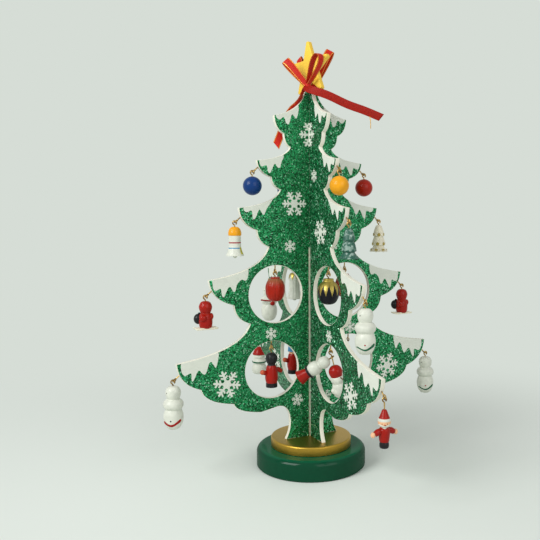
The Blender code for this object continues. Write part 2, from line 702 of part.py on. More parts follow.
def arms(kind, radius, height, tools, low=0.0):
    """Two arms held out from the shoulders to both sides."""
    pair = []
    shoulder = -BODY_DROP - low - height * (1 - SHOULDER_SHARE)
    for side in (-1, 1):
        start = Vector((side * (radius - ARM_RADIUS), 0, shoulder))
        reach = Vector((side * math.sin(ARM_SPREAD), 0, -math.cos(ARM_SPREAD))) * ARM_LENGTH
        pair.append(rod(f"{kind}_arm_{side}", start, start + reach, ARM_RADIUS, ARM_STEPS, tools))
    return pair


def skier_extras(tools):
    """Two skis under the body and a sack behind its shoulder."""
    foot = -BODY_DROP - SKIER_HEIGHT
    pieces = []
    for side in (-1, 1):
        centre = (0, side * (SKI_WIDTH / 2 + SKI_THICKNESS / 2), foot)
        pieces.append(box(f"ski_{side}", (SKI_LENGTH, SKI_WIDTH, SKI_THICKNESS), centre, tools))
    middle = foot + SKIER_HEIGHT * SACK_HEIGHT_SHARE
    pieces.append(lump("sack", (-SKIER_RADIUS, SACK_RADIUS, middle), (SACK_RADIUS,) * 3, tools))
    pieces.append(lump("poles", (SKIER_RADIUS, SACK_RADIUS, middle), (SACK_RADIUS * POLES_SHARE,) * 3, tools))
    return pieces


def clapper(tools):
    bottom = -BODY_DROP - BELL_HEIGHT
    return [lump("clapper", (0, 0, bottom), (CLAPPER_RADIUS,) * 3, tools)]


def ornament_mesh(kind, shares, radius, height, extras, tools, low=0.0):
    """One kind of ornament with its screw eye, its pivot at the origin."""
    body = turned(kind, scaled_profile(shares, radius, height, BODY_DROP + low), TURN_STEPS, tools)
    shape = eye_mesh(f"{kind}_eye", WIRE_RADIUS + ORNAMENT_NECK + low + radius * EYE_SINK_SHARE, tools)
    shape.transform(Matrix.Translation((0, 0, -LINK_DROP)) @ Matrix.Rotation(math.pi, 4, "Y"))
    eye = add_object(f"{kind}_eye", shape, tools)
    for piece in [eye] + extras:
        combine(body, as_tool(piece), "UNION")
    bpy.context.view_layer.update()
    mesh = finished_mesh(body, kind)
    bpy.data.objects.remove(body, do_unlink=True)
    return mesh


def ornament_meshes(tools):
    """Every kind of ornament, by name."""
    ball_height = 2 * BALL_RADIUS
    return {
        "ball": ornament_mesh("ball", ball_shares(), BALL_RADIUS, ball_height, [], tools),
        "bell": ornament_mesh("bell", BELL_SHARES, BELL_RADIUS, BELL_HEIGHT, clapper(tools), tools),
        "fir": ornament_mesh("fir", FIR_SHARES, FIR_RADIUS, FIR_HEIGHT, [], tools),
        "oval": ornament_mesh("oval", OVAL_SHARES, OVAL_RADIUS, OVAL_HEIGHT, [], tools),
        "capped": ornament_mesh("capped", CAPPED_SHARES, CAPPED_RADIUS, CAPPED_HEIGHT, [], tools),
        "snowman": ornament_mesh("snowman", SNOWMAN_SHARES, SNOWMAN_RADIUS, SNOWMAN_HEIGHT, [], tools),
        "hatted": ornament_mesh("hatted", HATTED_SHARES, HATTED_RADIUS, HATTED_HEIGHT, [], tools),
        "hatted_low": ornament_mesh("hatted_low", HATTED_SHARES, HATTED_RADIUS, HATTED_HEIGHT, [], tools,
                                    LOW_HANG),
        "guard": ornament_mesh("guard", GUARD_SHARES, GUARD_RADIUS, GUARD_HEIGHT,
                               arms("guard", GUARD_RADIUS, GUARD_HEIGHT, tools), tools),
        "santa": ornament_mesh("santa", SANTA_SHARES, SANTA_RADIUS, SANTA_HEIGHT,
                               arms("santa", SANTA_RADIUS, SANTA_HEIGHT, tools, SANTA_LOW), tools, SANTA_LOW),
        "skier": ornament_mesh("skier", SKIER_SHARES, SKIER_RADIUS, SKIER_HEIGHT, skier_extras(tools), tools),
        "caught": ornament_mesh("caught", CAUGHT_SHARES, CAUGHT_RADIUS, CAUGHT_HEIGHT, [], tools),
    }


def pivot_point(wing, entry, direction):
    """The lowest point of a panel eye's wire, where an ornament's eye hangs."""
    centre = in_wing(wing, entry + direction * EYE_CENTRE)
    if WINGS[wing].x:
        return centre + in_wing(wing, direction) * EYE_RADIUS
    return centre - Vector((0, 0, EYE_RADIUS))


def caught_place(hanger):
    """Where the caught ornament lies: its eye round the neck of the low snowman's, its body slanting down."""
    level = math.cos(CAUGHT_FALL)
    down = Vector((level * math.cos(CAUGHT_HEADING), level * math.sin(CAUGHT_HEADING), -math.sin(CAUGHT_FALL)))
    neck = hanger.to_3x3() @ Vector((0, 0, 1))
    normal = (neck - down * neck.dot(down)).normalized()
    frame = Matrix((normal.cross(-down), normal, -down)).transposed().to_4x4()
    return Matrix.Translation(hanger @ Vector((0, 0, -CAUGHT_HANG)) - down * LINK_DROP) @ frame


def add_ornament(name, mesh, finish, place, parts):
    own = mesh.copy()
    own.materials.clear()
    own.materials.append(material(finish))
    ornament = add_object(name, own, parts)
    ornament.matrix_world = place
    return ornament


def hang_ornaments(parts, tools):
    meshes = ornament_meshes(tools)
    for wing in WINGS:
        for (place, entry, direction), hanging in zip(eye_places(), HANGING[wing]):
            point = pivot_point(wing, entry, direction)
            spot = Matrix.Translation(point)
            if (wing, place) == (CAUGHT_WING, CAUGHT_PLACE):
                spot = spot @ Matrix.Rotation(-CAUGHT_PULL, 4, "Y")
                add_ornament("caught_ornament", meshes["caught"], "white_paint", caught_place(spot), parts)
            if hanging:
                kind, finish = hanging
                add_ornament(f"{kind}_{wing}_{place}", meshes[kind], finish, spot, parts)


def main():
    clear_scene()
    parts = new_collection("wooden_tabletop_tree")
    tools = new_collection("cutters")
    make_base(parts, tools)
    make_panel("panel_a", ("west", "east"), False, parts, tools)
    make_panel("panel_b", ("south", "north"), True, parts, tools)
    make_star(parts, tools)
    make_ribbon(parts, tools)
    make_panel_eyes(parts, tools)
    hang_ornaments(parts, tools)
    for item in parts.objects:
        item.data.shade_smooth()
        item.data.set_sharp_from_angle(angle=SHARP_ANGLE)
    for item in tools.objects:
        as_tool(item)


main()
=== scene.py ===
"""Dresses a wooden tabletop fir tree: glittered panels with painted snow, a lacquered base, a star with a
ribbon bow, brass screw eyes and small turned and painted ornaments.

The tree stands on z = 0 with its axis on Z. Panel A lies in the XZ plane and panel B in the YZ plane, and the
four wings are called west (-X), south (-Y), east (+X) and north (+Y). Sizes in tables are in millimetres.
"""
import json
import math

import bmesh
import bpy
import numpy as np
from bpy.props import FloatProperty, IntProperty, PointerProperty, StringProperty
from bpy.types import Operator, Panel, PropertyGroup
from mathutils import Matrix, Vector


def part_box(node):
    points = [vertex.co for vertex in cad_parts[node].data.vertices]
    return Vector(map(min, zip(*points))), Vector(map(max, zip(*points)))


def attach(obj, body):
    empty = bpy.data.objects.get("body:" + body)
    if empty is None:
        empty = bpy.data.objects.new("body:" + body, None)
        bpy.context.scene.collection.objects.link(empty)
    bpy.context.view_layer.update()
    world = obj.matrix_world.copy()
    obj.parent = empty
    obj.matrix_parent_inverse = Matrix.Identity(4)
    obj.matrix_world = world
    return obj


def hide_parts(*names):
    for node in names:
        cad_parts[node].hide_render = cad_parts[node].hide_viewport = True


bl_info = {
    "name": "Wooden Tabletop Tree",
    "version": (1, 0, 0),
    "blender": (4, 5, 0),
    "location": "3D View > Sidebar > Tree",
    "description": "Glittered, snow-painted tabletop tree with a ribbon bow and turned ornaments",
    "category": "Object",
}

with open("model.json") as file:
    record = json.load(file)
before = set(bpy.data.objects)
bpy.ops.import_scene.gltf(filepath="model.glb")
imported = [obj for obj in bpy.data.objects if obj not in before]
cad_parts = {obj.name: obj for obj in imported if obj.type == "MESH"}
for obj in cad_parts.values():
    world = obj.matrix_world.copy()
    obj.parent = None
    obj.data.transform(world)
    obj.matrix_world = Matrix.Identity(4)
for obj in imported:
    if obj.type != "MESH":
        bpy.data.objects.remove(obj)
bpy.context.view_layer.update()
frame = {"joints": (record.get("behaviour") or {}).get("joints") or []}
JOINTS = {joint["child"]: joint for joint in frame["joints"]}
TREE = "tree"
MM = 0.001

WELD, SLIVER = 0.002 * MM, 0.001 * MM

# Base and panels, as the solids are built
DISC_RADIUS, DISC_HEIGHT, DISC_ROUNDING, FOOT_CHAMFER = 40.0, 14.5, 4.0, 1.0
PLATE_RADIUS, PLATE_FOOT, PLATE_TOP, PLATE_ROUNDING = 29.5, 14.8, 21.3, 1.2
PANEL_THICKNESS, PANEL_HEIGHT, APEX_HALF_WIDTH = 3.0, 249.5, 4.5
PANEL_TOP = PLATE_TOP + PANEL_HEIGHT
LAP_HEIGHT = PLATE_TOP + 0.555 * PANEL_HEIGHT
TENON_HALF_WIDTH, TENON_DEPTH = 14.0, 11.0
FIT_GAP, LOOSE_GAP, EDGE_SOFTNESS = 0.3, 0.7, 0.18
TIPS = np.column_stack(((28.5, 41.5, 55.0, 77.0, 100.0),
                        PLATE_TOP + PANEL_HEIGHT * np.array((0.926, 0.8, 0.669, 0.473, 0.2525))))
NOTCHES = np.column_stack((TIPS[:4, 0] * (0.57, 0.575, 0.6, 0.615),
                           TIPS[:4, 1] - (TIPS[:4, 1] - TIPS[1:, 1]) * (0.69, 0.61, 0.555, 0.575)))
SKIRT_CUSPS = np.array(((83.4, 65.1), (60.1, 52.3), (40.0, 43.9)))
SWEEP_BEND, SCALLOP_BEND, CUSP_PLACE = np.array((0.12, 0.78)), np.array((0.08, 0.77)), np.array((0.6, 0.57))
HOLE_RADIUS = 20.5
HOLES = np.array(((28.0, PLATE_TOP + 0.4257 * PANEL_HEIGHT), (31.2, PLATE_TOP + 0.2104 * PANEL_HEIGHT)))

# Screw eyes
WIRE, EYE_RADIUS, EYE_NECK, SHANK_DEPTH, EYE_TILT, EYE_PLACE = 0.45, 1.35, 2.5, 4.0, math.radians(50), 0.3
EYE_CENTRE = EYE_NECK + WIRE + EYE_RADIUS
LINK_DROP = 0.15

# Ornaments: their top below the pivot, the balls' radius, and the neck and shank of the eye that hangs them
TOP, BALL_RADIUS, HANGER_NECK, HANGER_SHANK = -2.75, 6.5, 0.8, 1.6

WINGS = {"west": (-1, 0), "south": (0, -1), "east": (1, 0), "north": (0, 1)}
FRONT = -118  # degrees about Z that face the camera; more turns to the picture's right

# Lower edge of the snow on each tier, from the tip inwards, measured from the tier's tip
SNOW_EDGES = (
    ((-1.1, -0.4), (-2.0, -1.9), (-3.7, -2.9), (-5.1, -2.4), (-6.6, -1.1), (-7.8, -1.8), (-8.6, -4.2),
     (-9.8, -5.7), (-11.0, -5.6), (-11.8, -4.0), (-12.4, -1.5), (-13.0, 0.3), (-13.9, 1.2), (-15.1, -0.1),
     (-16.9, -1.5), (-17.8, 0.9), (-18.5, 3.6), (-18.7, 5.6)),
    ((-1.6, -1.1), (-2.3, -3.1), (-3.3, -4.2), (-5.0, -3.8), (-6.7, -3.3), (-7.4, -4.3), (-8.1, -7.4),
     (-8.9, -8.5), (-9.9, -8.2), (-11.2, -5.5), (-12.1, -3.6), (-13.0, -2.3), (-14.0, -2.5), (-15.0, -4.3),
     (-16.2, -4.8), (-17.3, -4.3), (-17.9, -1.9), (-18.8, 0.6), (-19.7, 1.9), (-20.0, 3.4)),
    ((-3.2, -0.3), (-3.7, -1.9), (-5.1, -2.9), (-6.8, -2.6), (-8.5, -1.9), (-9.5, -2.6), (-10.0, -6.6),
     (-10.7, -7.9), (-11.5, -7.4), (-12.7, -5.5), (-13.8, -2.9), (-14.7, -1.3), (-15.6, -1.6),
     (-17.0, -4.0), (-18.1, -4.8), (-19.0, -3.7), (-20.1, -1.1), (-21.9, 1.6), (-23.3, 3.5), (-24.8, 5.6)),
    ((-2.4, -1.2), (-3.1, -5.9), (-4.5, -7.1), (-6.1, -6.7), (-7.5, -6.0), (-8.5, -6.5), (-9.0, -10.2),
     (-10.1, -11.9), (-11.2, -10.4), (-12.3, -8.1), (-13.7, -5.5), (-15.1, -5.0), (-16.2, -6.7),
     (-17.5, -8.6), (-18.9, -7.6), (-19.8, -4.0), (-21.8, -1.4), (-23.7, -0.4), (-25.4, -1.1),
     (-27.1, -0.6), (-28.3, 3.1), (-28.3, 6.5)),
    ((-2.8, -0.9), (-3.1, -4.6), (-4.2, -7.3), (-6.0, -8.2), (-9.7, -7.0), (-10.0, -11.7), (-10.9, -12.5),
     (-12.6, -9.7), (-13.8, -6.9), (-15.5, -5.6), (-17.6, -8.0), (-19.5, -8.6), (-21.0, -5.8),
     (-22.2, -1.8), (-23.8, -0.5), (-25.3, -2.5), (-27.0, -4.8), (-28.4, -1.0), (-29.4, 4.6)),
)

# How bright each panel's glitter is painted: panel B's deeper green is painted shade for how the light falls
# on its flakes, and panel A's is a little lighter
GLITTER_PAINTED_LIGHT = {"a": 1.05, "b": 0.78}

# Painted snowflakes on each panel: reach, height, radius, turn in degrees, and whether the far wing has it
FLAKES = {
    "a": ((0.0, 240.0, 9.5, 0, False), (-13.5, 191.2, 9.4, 0, False), (17.0, 161.0, 4.6, 30, True),
          (32.0, 99.4, 4.6, 30, True), (65.1, 66.8, 10.0, 9, True), (11.6, 49.5, 4.8, 12, True)),
    "b": ((0.0, 240.0, 9.5, 0, False), (8.9, 210.8, 4.6, 30, True), (18.6, 171.3, 9.3, 6, True),
          (31.5, 99.8, 4.6, 0, True), (62.0, 65.1, 9.8, 20, True)),
}

# Star and ribbon, as the solids are built
STAR_RADIUS, STAR_INNER, STAR_TIP_WIDTH, STAR_THICKNESS = 19.3, 0.428, 2.0, 3.6
STAR_CENTRE, STAR_TURN, STAR_LEAN = PANEL_TOP + 15.24, math.radians(17.2), math.radians(3.7)
PIN_RADIUS, THREAD_RADIUS = 0.8, 0.15
KNOT_OFFSET, KNOT_SIDE, KNOT_HEIGHT, KNOT_RADIUS, STRAP_RADIUS = 5.6, 3.3, PANEL_TOP + 2.6, 2.6, 1.9

# The ribbon's loops: which knot, where the fold lies, which way the loop faces, its bulge and its skew. Folds
# and ways are a distance off the star's face, one along the star and, for a fold, one above the panels' apex.
LOOPS = (
    ("front", (14.0, -10.8, 21.0), (1, 1), 1.6, 0.9), ("front", (6.6, 16.4, 22.4), (0, 1), 5.4, 0.0),
    ("back", (-8.0, 12.4, 27.4), (1, 1), 1.6, -1.3), ("back", (-6.2, -18.4, 26.4), (1, 0), 1.6, 0.0),
)

# Points of the ribbon's tails after the knot, from the panels' apex
RIGHT_TAIL = ((-6.5, -9.0, 0.2), (4.6, -17.0, -4.6), (17.8, -22.5, -10.9), (28.6, -27.0, -14.9),
              (40.6, -30.5, -19.5))
LEFT_TAIL = ((-7.0, -3.5, -0.8), (-8.1, -1.6, -4.8), (-10.4, 1.4, -9.9), (-12.9, 3.7, -13.9),
             (-16.6, 5.2, -20.2), (-20.1, 5.6, -29.4), (-24.0, 5.8, -38.8))

# Turned profiles: radius and depth below the ornament's top
BELL = ((0, 0), (2.2, 0.3), (3.7, 1.7), (4.4, 3.9), (4.5, 5.3), (4.35, 6.0), (4.15, 6.4), (4.15, 8.5),
        (4.15, 11.0), (4.2, 13.6), (4.5, 15.4), (5.2, 17.6), (6.1, 19.6), (5.9, 20.0), (4.2, 19.4),
        (0, 19.2))
FIR = ((0, 0), (1.5, 0.15), (2.6, 1.6), (3.5, 4.2), (4.15, 7.2), (4.15, 8.0), (3.4, 8.4), (3.5, 8.9),
       (4.5, 11.5), (5.0, 14.3), (4.9, 15.1), (4.0, 15.5), (4.2, 16.3), (5.2, 18.0), (6.5, 19.3),
       (6.4, 20.0), (0, 20.0))
OVAL = ((0, 0), (2.0, 0.05), (3.2, 0.1), (3.3, 0.5), (3.35, 0.9), (4.4, 1.7), (5.7, 3.3), (6.7, 6.0),
        (6.9, 8.4), (6.7, 11.4), (5.6, 14.7), (3.6, 16.8), (1.6, 17.35), (0, 17.4))
DROP = ((0, 0), (2.2, 0.05), (3.4, 0.15), (3.55, 0.8), (3.6, 1.9), (5.0, 3.0), (6.7, 5.2), (7.6, 8.4),
        (7.5, 11.0), (6.6, 14.1), (4.8, 16.8), (2.4, 17.9), (0, 18.0))
SNOWMAN = ((0, 0), (2.0, 0.1), (3.6, 0.8), (4.8, 2.6), (5.1, 4.4), (4.9, 6.4), (4.25, 8.3), (4.3, 8.8),
           (5.6, 9.7), (6.6, 11.2), (6.8, 12.4), (6.5, 13.9), (5.6, 15.3), (5.35, 15.7), (5.8, 16.8),
           (6.4, 18.6), (6.6, 20.4), (6.5, 22.4), (6.0, 25.0), (4.7, 27.6), (2.9, 29.1), (0, 29.2))
HATTED_SNOWMAN = ((0, 0), (1.5, 0.15), (3.0, 1.2), (4.4, 3.2), (5.0, 4.6), (5.55, 5.4), (5.6, 6.4),
                  (5.0, 7.0), (5.3, 8.4), (4.7, 9.9), (5.3, 10.8), (6.0, 12.2), (5.7, 13.9), (4.9, 14.9),
                  (5.7, 16.0), (6.4, 18.2), (6.3, 20.4), (5.4, 22.5), (3.2, 23.4), (0, 23.5))
BOBBLE_SNOWMAN = ((0, 0), (2.4, 0.5), (4.1, 2.1), (4.8, 4.3), (4.6, 6.4), (4.1, 7.8), (4.5, 8.6),
                  (4.8, 10.2), (4.4, 12.0), (4.0, 12.9), (4.6, 14.2), (5.1, 16.6), (5.2, 19.2),
                  (4.6, 22.0), (3.0, 23.4), (0, 23.5))
CAUGHT_SNOWMAN = ((0, 0), (1.6, 0.15), (3.4, 1.4), (4.3, 3.9), (4.1, 6.2), (3.2, 7.7), (4.2, 9.0),
                  (5.0, 11.2), (5.05, 13.0), (4.3, 15.2), (3.9, 15.9), (4.9, 16.3), (5.0, 16.9),
                  (4.7, 17.5), (3.5, 17.8), (3.7, 19.2), (4.3, 21.8), (5.1, 24.6), (4.9, 25.0), (0, 25.0))
CAPPED_HEAD = ((0, 0), (1.2, 0.1), (2.6, 1.6), (3.6, 4.2), (4.0, 6.6), (4.1, 7.6), (3.9, 8.0), (3.2, 8.4))
CURLY_HEAD = ((0, 0), (2.4, 0.6), (3.9, 2.6), (4.2, 4.4), (3.8, 6.6), (2.8, 8.2))
GUARD_BODY = ((2.9, 9.0), (3.2, 9.5), (3.8, 10.9), (4.2, 13.4), (4.6, 16.6), (4.65, 18.6), (4.3, 20.6),
              (3.95, 21.6), (4.0, 22.0), (4.1, 24.6), (3.6, 25.0), (0, 25.0))
SUITED_FIGURE = ((0, 0), (1.1, 0.1), (1.5, 0.6), (2.4, 2.8), (3.1, 4.6), (3.5, 5.3), (4.1, 6.2),
                 (4.1, 7.4), (3.8, 8.9), (3.0, 10.2), (2.4, 10.9), (2.9, 11.6), (3.5, 12.6), (3.55, 15.2),
                 (3.2, 18.2), (2.95, 19.8), (2.7, 20.2), (3.0, 21.6), (2.8, 23.4), (2.0, 24.0), (0, 24.0))
SKIER = ((0, 0), (1.8, 0.1), (3.4, 1.1), (4.35, 3.2), (4.4, 4.8), (3.8, 6.8), (3.35, 8.2), (3.9, 9.0),
         (4.4, 10.4), (4.6, 13.4), (4.4, 16.4), (3.7, 18.2), (2.6, 18.6), (0, 18.6))

# How far the red suit figure hangs below the usual place. The skiers' skis, height and round parts: centre
# from the skis up, radii, finish, rings and sides
SUIT_DROP = 3.4
SKI_LENGTH, SKI_APART, SKIER_HEIGHT = 17.0, 2.0, 18.6
SKIER_PARTS = (((-4.2, 3.2, 6.3), (3.1, 3.1, 3.6), 4, 16, 24), ((-3.6, 2.6, 9.9), (1.0, 1.0, 0.9), 4, 10, 16),
               ((4.2, 3.0, 6.2), (1.6, 1.6, 1.7), 4, 12, 18), ((-2.6, -2.9, 7.4), (2.7, 2.5, 2.6), 0, 16, 24),
               ((3.4, -1.8, 8.2), (1.5, 1.6, 2.3), 2, 14, 20))

# Camera, lamps and floor, in metres
CAMERA_PLACE, CAMERA_DOWN, CAMERA_SHIFT = (-0.2217, -0.4523, 0.1856), math.radians(4.79), -0.1122
CAMERA_AHEAD = (0.4658, 0.8849, -math.tan(CAMERA_DOWN))
KEY_LAMP, FILL_LAMP, LAMP_TARGET = ((-1.05, -0.3, 0.8), 0.7), ((0.15, -1.1, 0.6), 0.9), (0, 0, 0.13)
FLOOR_REACH, SHADOW_REACH, PAPER_LIFT = 8.0, (0.06, 0.42), 1.12


def linear(code):
    """Linear colour of an sRGB hex code: c / 12.92 below 0.04045, otherwise ((c + 0.055) / 1.055) ^ 2.4."""
    channels = np.array([int(code[start:start + 2], 16) for start in (1, 3, 5)]) / 255
    curve = np.where(channels <= 0.04045, channels / 12.92, ((channels + 0.055) / 1.055) ** 2.4)
    return (*(float(value) for value in curve), 1.0)


def add_node(tree, kind, settings=None, values=None, links=None, stops=()):
    """A shader node with its settings, its unlinked input values and the sockets linked to its inputs.

    stops are the (place, hex code) pairs of a colour ramp.
    """
    node = tree.nodes.new(kind)
    for key, value in (settings or {}).items():
        setattr(node, key, value)
    for key, value in (values or {}).items():
        node.inputs[key].default_value = value
    for key, socket in (links or {}).items():
        tree.links.new(socket, node.inputs[key])
    if stops:
        elements = node.color_ramp.elements
        while len(elements) < len(stops):
            elements.new(0.5)
        for element, (place, code) in zip(elements, stops):
            element.position, element.color = place, linear(code)
    return node


def new_finish(name, **values):
    """A material with its Principled shader; keyword names are the shader's sockets in lower case."""
    finish = bpy.data.materials.new(name)
    finish.use_nodes = True
    shader = finish.node_tree.nodes["Principled BSDF"]
    for key, value in values.items():
        shader.inputs[key.replace("_", " ").title().replace("Ior", "IOR")].default_value = value
    return finish, finish.node_tree, shader


def mottled(tree, place, colour, size, detail, low, high):
    """A colour, a hex code or a socket, times a cloudy tone from low to high in patches of that size."""
    patches = add_node(tree, "ShaderNodeTexNoise", None, {"Scale": 1 / size, "Detail": detail},
                       {"Vector": place})
    shade = add_node(tree, "ShaderNodeMapRange", None,
                     {"From Min": 0.3, "From Max": 0.7, "To Min": low, "To Max": high},
                     {"Value": patches.outputs["Fac"]})
    fixed, linked = ({0: linear(colour)[:3]}, {}) if isinstance(colour, str) else ({}, {0: colour})
    toned = add_node(tree, "ShaderNodeVectorMath", {"operation": "SCALE"}, fixed,
                     {**linked, "Scale": shade.outputs["Result"]})
    return toned.outputs["Vector"]


def glitter_finish(settings, name, with_band, level):
    """Polyester glitter glued on painted plywood: hexagonal flakes of about 0.4 mm, each at its own tilt.

    To the eye it is a deep green ground with light and dark flecks that flash as the view turns, and it
    darkens in the corner of two wings, which mirror each other there. The brightest flecks are painted
    glints, set in the colour beside the flash of the tilted flakes. The flakes are drawn at 0.75 mm,
    coarser than real ones, so that they still show. level scales the whole tone, as painted light and
    shade that sets panel A's glitter lighter and panel B's darker. On panel B a pale band without
    glitter follows the crossing below the lap, where the loose slot leaves it bare.
    """
    finish, tree, shader = new_finish(name, roughness=0.34, metallic=0.6, specular_ior_level=0.25)
    place = add_node(tree, "ShaderNodeTexCoord").outputs["Object"]
    flakes = add_node(tree, "ShaderNodeTexVoronoi", {"feature": "F1"},
                      {"Scale": 1 / settings.flake_size, "Randomness": 1.0}, {"Vector": place})
    parts = add_node(tree, "ShaderNodeSeparateColor", links={"Color": flakes.outputs["Color"]})
    # The ramp's brightest stop is painted glint, fixed in the colour
    tones = ((0.0, settings.dark_fleck), (0.22, settings.glitter_shade), (0.5, settings.glitter),
             (0.76, settings.glitter_light), (0.88, settings.glitter_light), (1.0, settings.painted_glint_fleck))
    colour = add_node(tree, "ShaderNodeValToRGB", links={"Fac": parts.outputs[0]}, stops=tones)
    # level brings in each panel's painted light and shade
    colour = mottled(tree, place, colour.outputs["Color"], settings.patch_size, 3.0, 0.88 * level,
                     1.1 * level)
    if with_band:
        split = add_node(tree, "ShaderNodeSeparateXYZ", links={"Vector": place})
        side = add_node(tree, "ShaderNodeMath", {"operation": "ABSOLUTE"}, links={0: split.outputs["Y"]})
        near = add_node(tree, "ShaderNodeMath", {"operation": "LESS_THAN"}, {1: settings.band_half_width},
                        {0: side.outputs[0]})
        low = add_node(tree, "ShaderNodeMath", {"operation": "LESS_THAN"}, {1: LAP_HEIGHT * MM},
                       {0: split.outputs["Z"]})
        mask = add_node(tree, "ShaderNodeMath", {"operation": "MULTIPLY"},
                        links={0: near.outputs[0], 1: low.outputs[0]})
        mixed = add_node(tree, "ShaderNodeMix", {"data_type": "RGBA"}, {7: linear(settings.edge)},
                         {0: mask.outputs[0], 6: colour})
        colour = mixed.outputs[2]
    tree.links.new(colour, shader.inputs["Base Color"])
    tilt = add_node(tree, "ShaderNodeVectorMath", {"operation": "SUBTRACT"}, {1: (0.5, 0.5, 0.5)},
                    {0: flakes.outputs["Color"]})
    tilt = add_node(tree, "ShaderNodeVectorMath", {"operation": "SCALE"}, {"Scale": settings.flake_tilt},
                    {0: tilt.outputs["Vector"]})
    normal = add_node(tree, "ShaderNodeNewGeometry").outputs["Normal"]
    normal = add_node(tree, "ShaderNodeVectorMath", {"operation": "ADD"}, None,
                      {0: normal, 1: tilt.outputs["Vector"]})
    normal = add_node(tree, "ShaderNodeVectorMath", {"operation": "NORMALIZE"}, None,
                      {0: normal.outputs["Vector"]})
    tree.links.new(normal.outputs["Vector"], shader.inputs["Normal"])
    return finish


def matt_paint(name, code, grain=0.6, roughness=0.62, relief=0.05, variation=0.06):
    """Thick matt paint laid on wood by brush or screen: an even pale coat with a faint orange-peel relief.

    grain is the size of the relief in millimetres, and variation the share by which the tone wanders.
    """
    finish, tree, shader = new_finish(name, roughness=roughness, specular_ior_level=0.35)
    place = add_node(tree, "ShaderNodeTexCoord").outputs["Object"]
    colour = mottled(tree, place, code, 6 * grain * MM, 4.0, 1 - variation, 1.0)
    tree.links.new(colour, shader.inputs["Base Color"])
    fine = add_node(tree, "ShaderNodeTexNoise", None, {"Scale": 1 / (grain * MM), "Detail": 2.0},
                    {"Vector": place})
    bump = add_node(tree, "ShaderNodeBump", None, {"Strength": 0.5, "Distance": relief * MM},
                    {"Height": fine.outputs["Fac"]})
    tree.links.new(bump.outputs["Normal"], shader.inputs["Normal"])
    return finish


def gloss_paint(name, code, roughness=0.36, coat=0.18, variation=0.12, specular=0.14, upper=None):
    """Gloss enamel on turned birch: a bright even colour with a thin clear skin that mirrors the room softly.

    The tone is a little deeper where the enamel pooled, and the lathe's rings show through as a fine relief.
    upper is a hex code with two heights, between which the colour passes to it.
    """
    finish, tree, shader = new_finish(name, roughness=roughness, coat_weight=coat, coat_roughness=0.09,
                                      specular_ior_level=specular)
    place = add_node(tree, "ShaderNodeTexCoord").outputs["Object"]
    colour = mottled(tree, place, code, 4 * MM, 3.0, 1 - variation, 1.04)
    if upper:
        height = add_node(tree, "ShaderNodeSeparateXYZ", links={"Vector": place}).outputs["Z"]
        share = add_node(tree, "ShaderNodeMapRange", {"interpolation_type": "SMOOTHSTEP"},
                         {"From Min": upper[1], "From Max": upper[2]}, {"Value": height})
        colour = add_node(tree, "ShaderNodeMix", {"data_type": "RGBA"}, {7: linear(upper[0])},
                          {0: share.outputs["Result"], 6: colour}).outputs[2]
    tree.links.new(colour, shader.inputs["Base Color"])
    rings = add_node(tree, "ShaderNodeTexWave", {"bands_direction": "Z"},
                     {"Scale": 1 / (4.5 * MM), "Distortion": 1.5, "Detail": 1.0}, {"Vector": place})
    bump = add_node(tree, "ShaderNodeBump", None, {"Strength": 0.25, "Distance": 0.03 * MM},
                    {"Height": rings.outputs["Fac"]})
    tree.links.new(bump.outputs["Normal"], shader.inputs["Normal"])
    return finish


def metal_wire(name, bright, dark):
    """Drawn brass wire: warm metal, bright in some patches and browned by tarnish in others."""
    finish, tree, shader = new_finish(name, metallic=1.0, roughness=0.3)
    place = add_node(tree, "ShaderNodeTexCoord").outputs["Object"]
    patches = add_node(tree, "ShaderNodeTexNoise", None, {"Scale": 1 / (2.2 * MM), "Detail": 3.0},
                       {"Vector": place})
    colour = add_node(tree, "ShaderNodeValToRGB", links={"Fac": patches.outputs["Fac"]},
                      stops=((0.35, dark), (0.6, bright)))
    tree.links.new(colour.outputs["Color"], shader.inputs["Base Color"])
    rough = add_node(tree, "ShaderNodeMapRange", None, {"To Min": 0.4, "To Max": 0.22},
                     {"Value": patches.outputs["Fac"]})
    tree.links.new(rough.outputs["Result"], shader.inputs["Roughness"])
    return finish


def fleck_paint(name, ground, fleck, fleck_mm, share, metallic, roughness):
    """Paint with metal flecks in it: a ground colour with brighter specks of the given size and share."""
    finish, tree, shader = new_finish(name, metallic=metallic, roughness=roughness)
    place = add_node(tree, "ShaderNodeTexCoord").outputs["Object"]
    cells = add_node(tree, "ShaderNodeTexVoronoi", None, {"Scale": 1 / (fleck_mm * MM)}, {"Vector": place})
    parts = add_node(tree, "ShaderNodeSeparateColor", links={"Color": cells.outputs["Color"]})
    clouds = add_node(tree, "ShaderNodeTexNoise", None, {"Scale": 1 / (7 * MM), "Detail": 4.0},
                      {"Vector": place})
    half = add_node(tree, "ShaderNodeMath", {"operation": "MULTIPLY"}, {1: 0.5}, {0: clouds.outputs["Fac"]})
    level = add_node(tree, "ShaderNodeMath", {"operation": "MULTIPLY_ADD"}, {1: 0.5},
                     {0: parts.outputs[0], 2: half.outputs[0]})
    colour = add_node(tree, "ShaderNodeValToRGB", links={"Fac": level.outputs[0]},
                      stops=((0.15, ground), (1 - share, ground), (1.0, fleck)))
    tree.links.new(colour.outputs["Color"], shader.inputs["Base Color"])
    bump = add_node(tree, "ShaderNodeBump", None, {"Strength": 0.4, "Distance": 0.05 * MM},
                    {"Height": parts.outputs[0]})
    tree.links.new(bump.outputs["Normal"], shader.inputs["Normal"])
    return finish


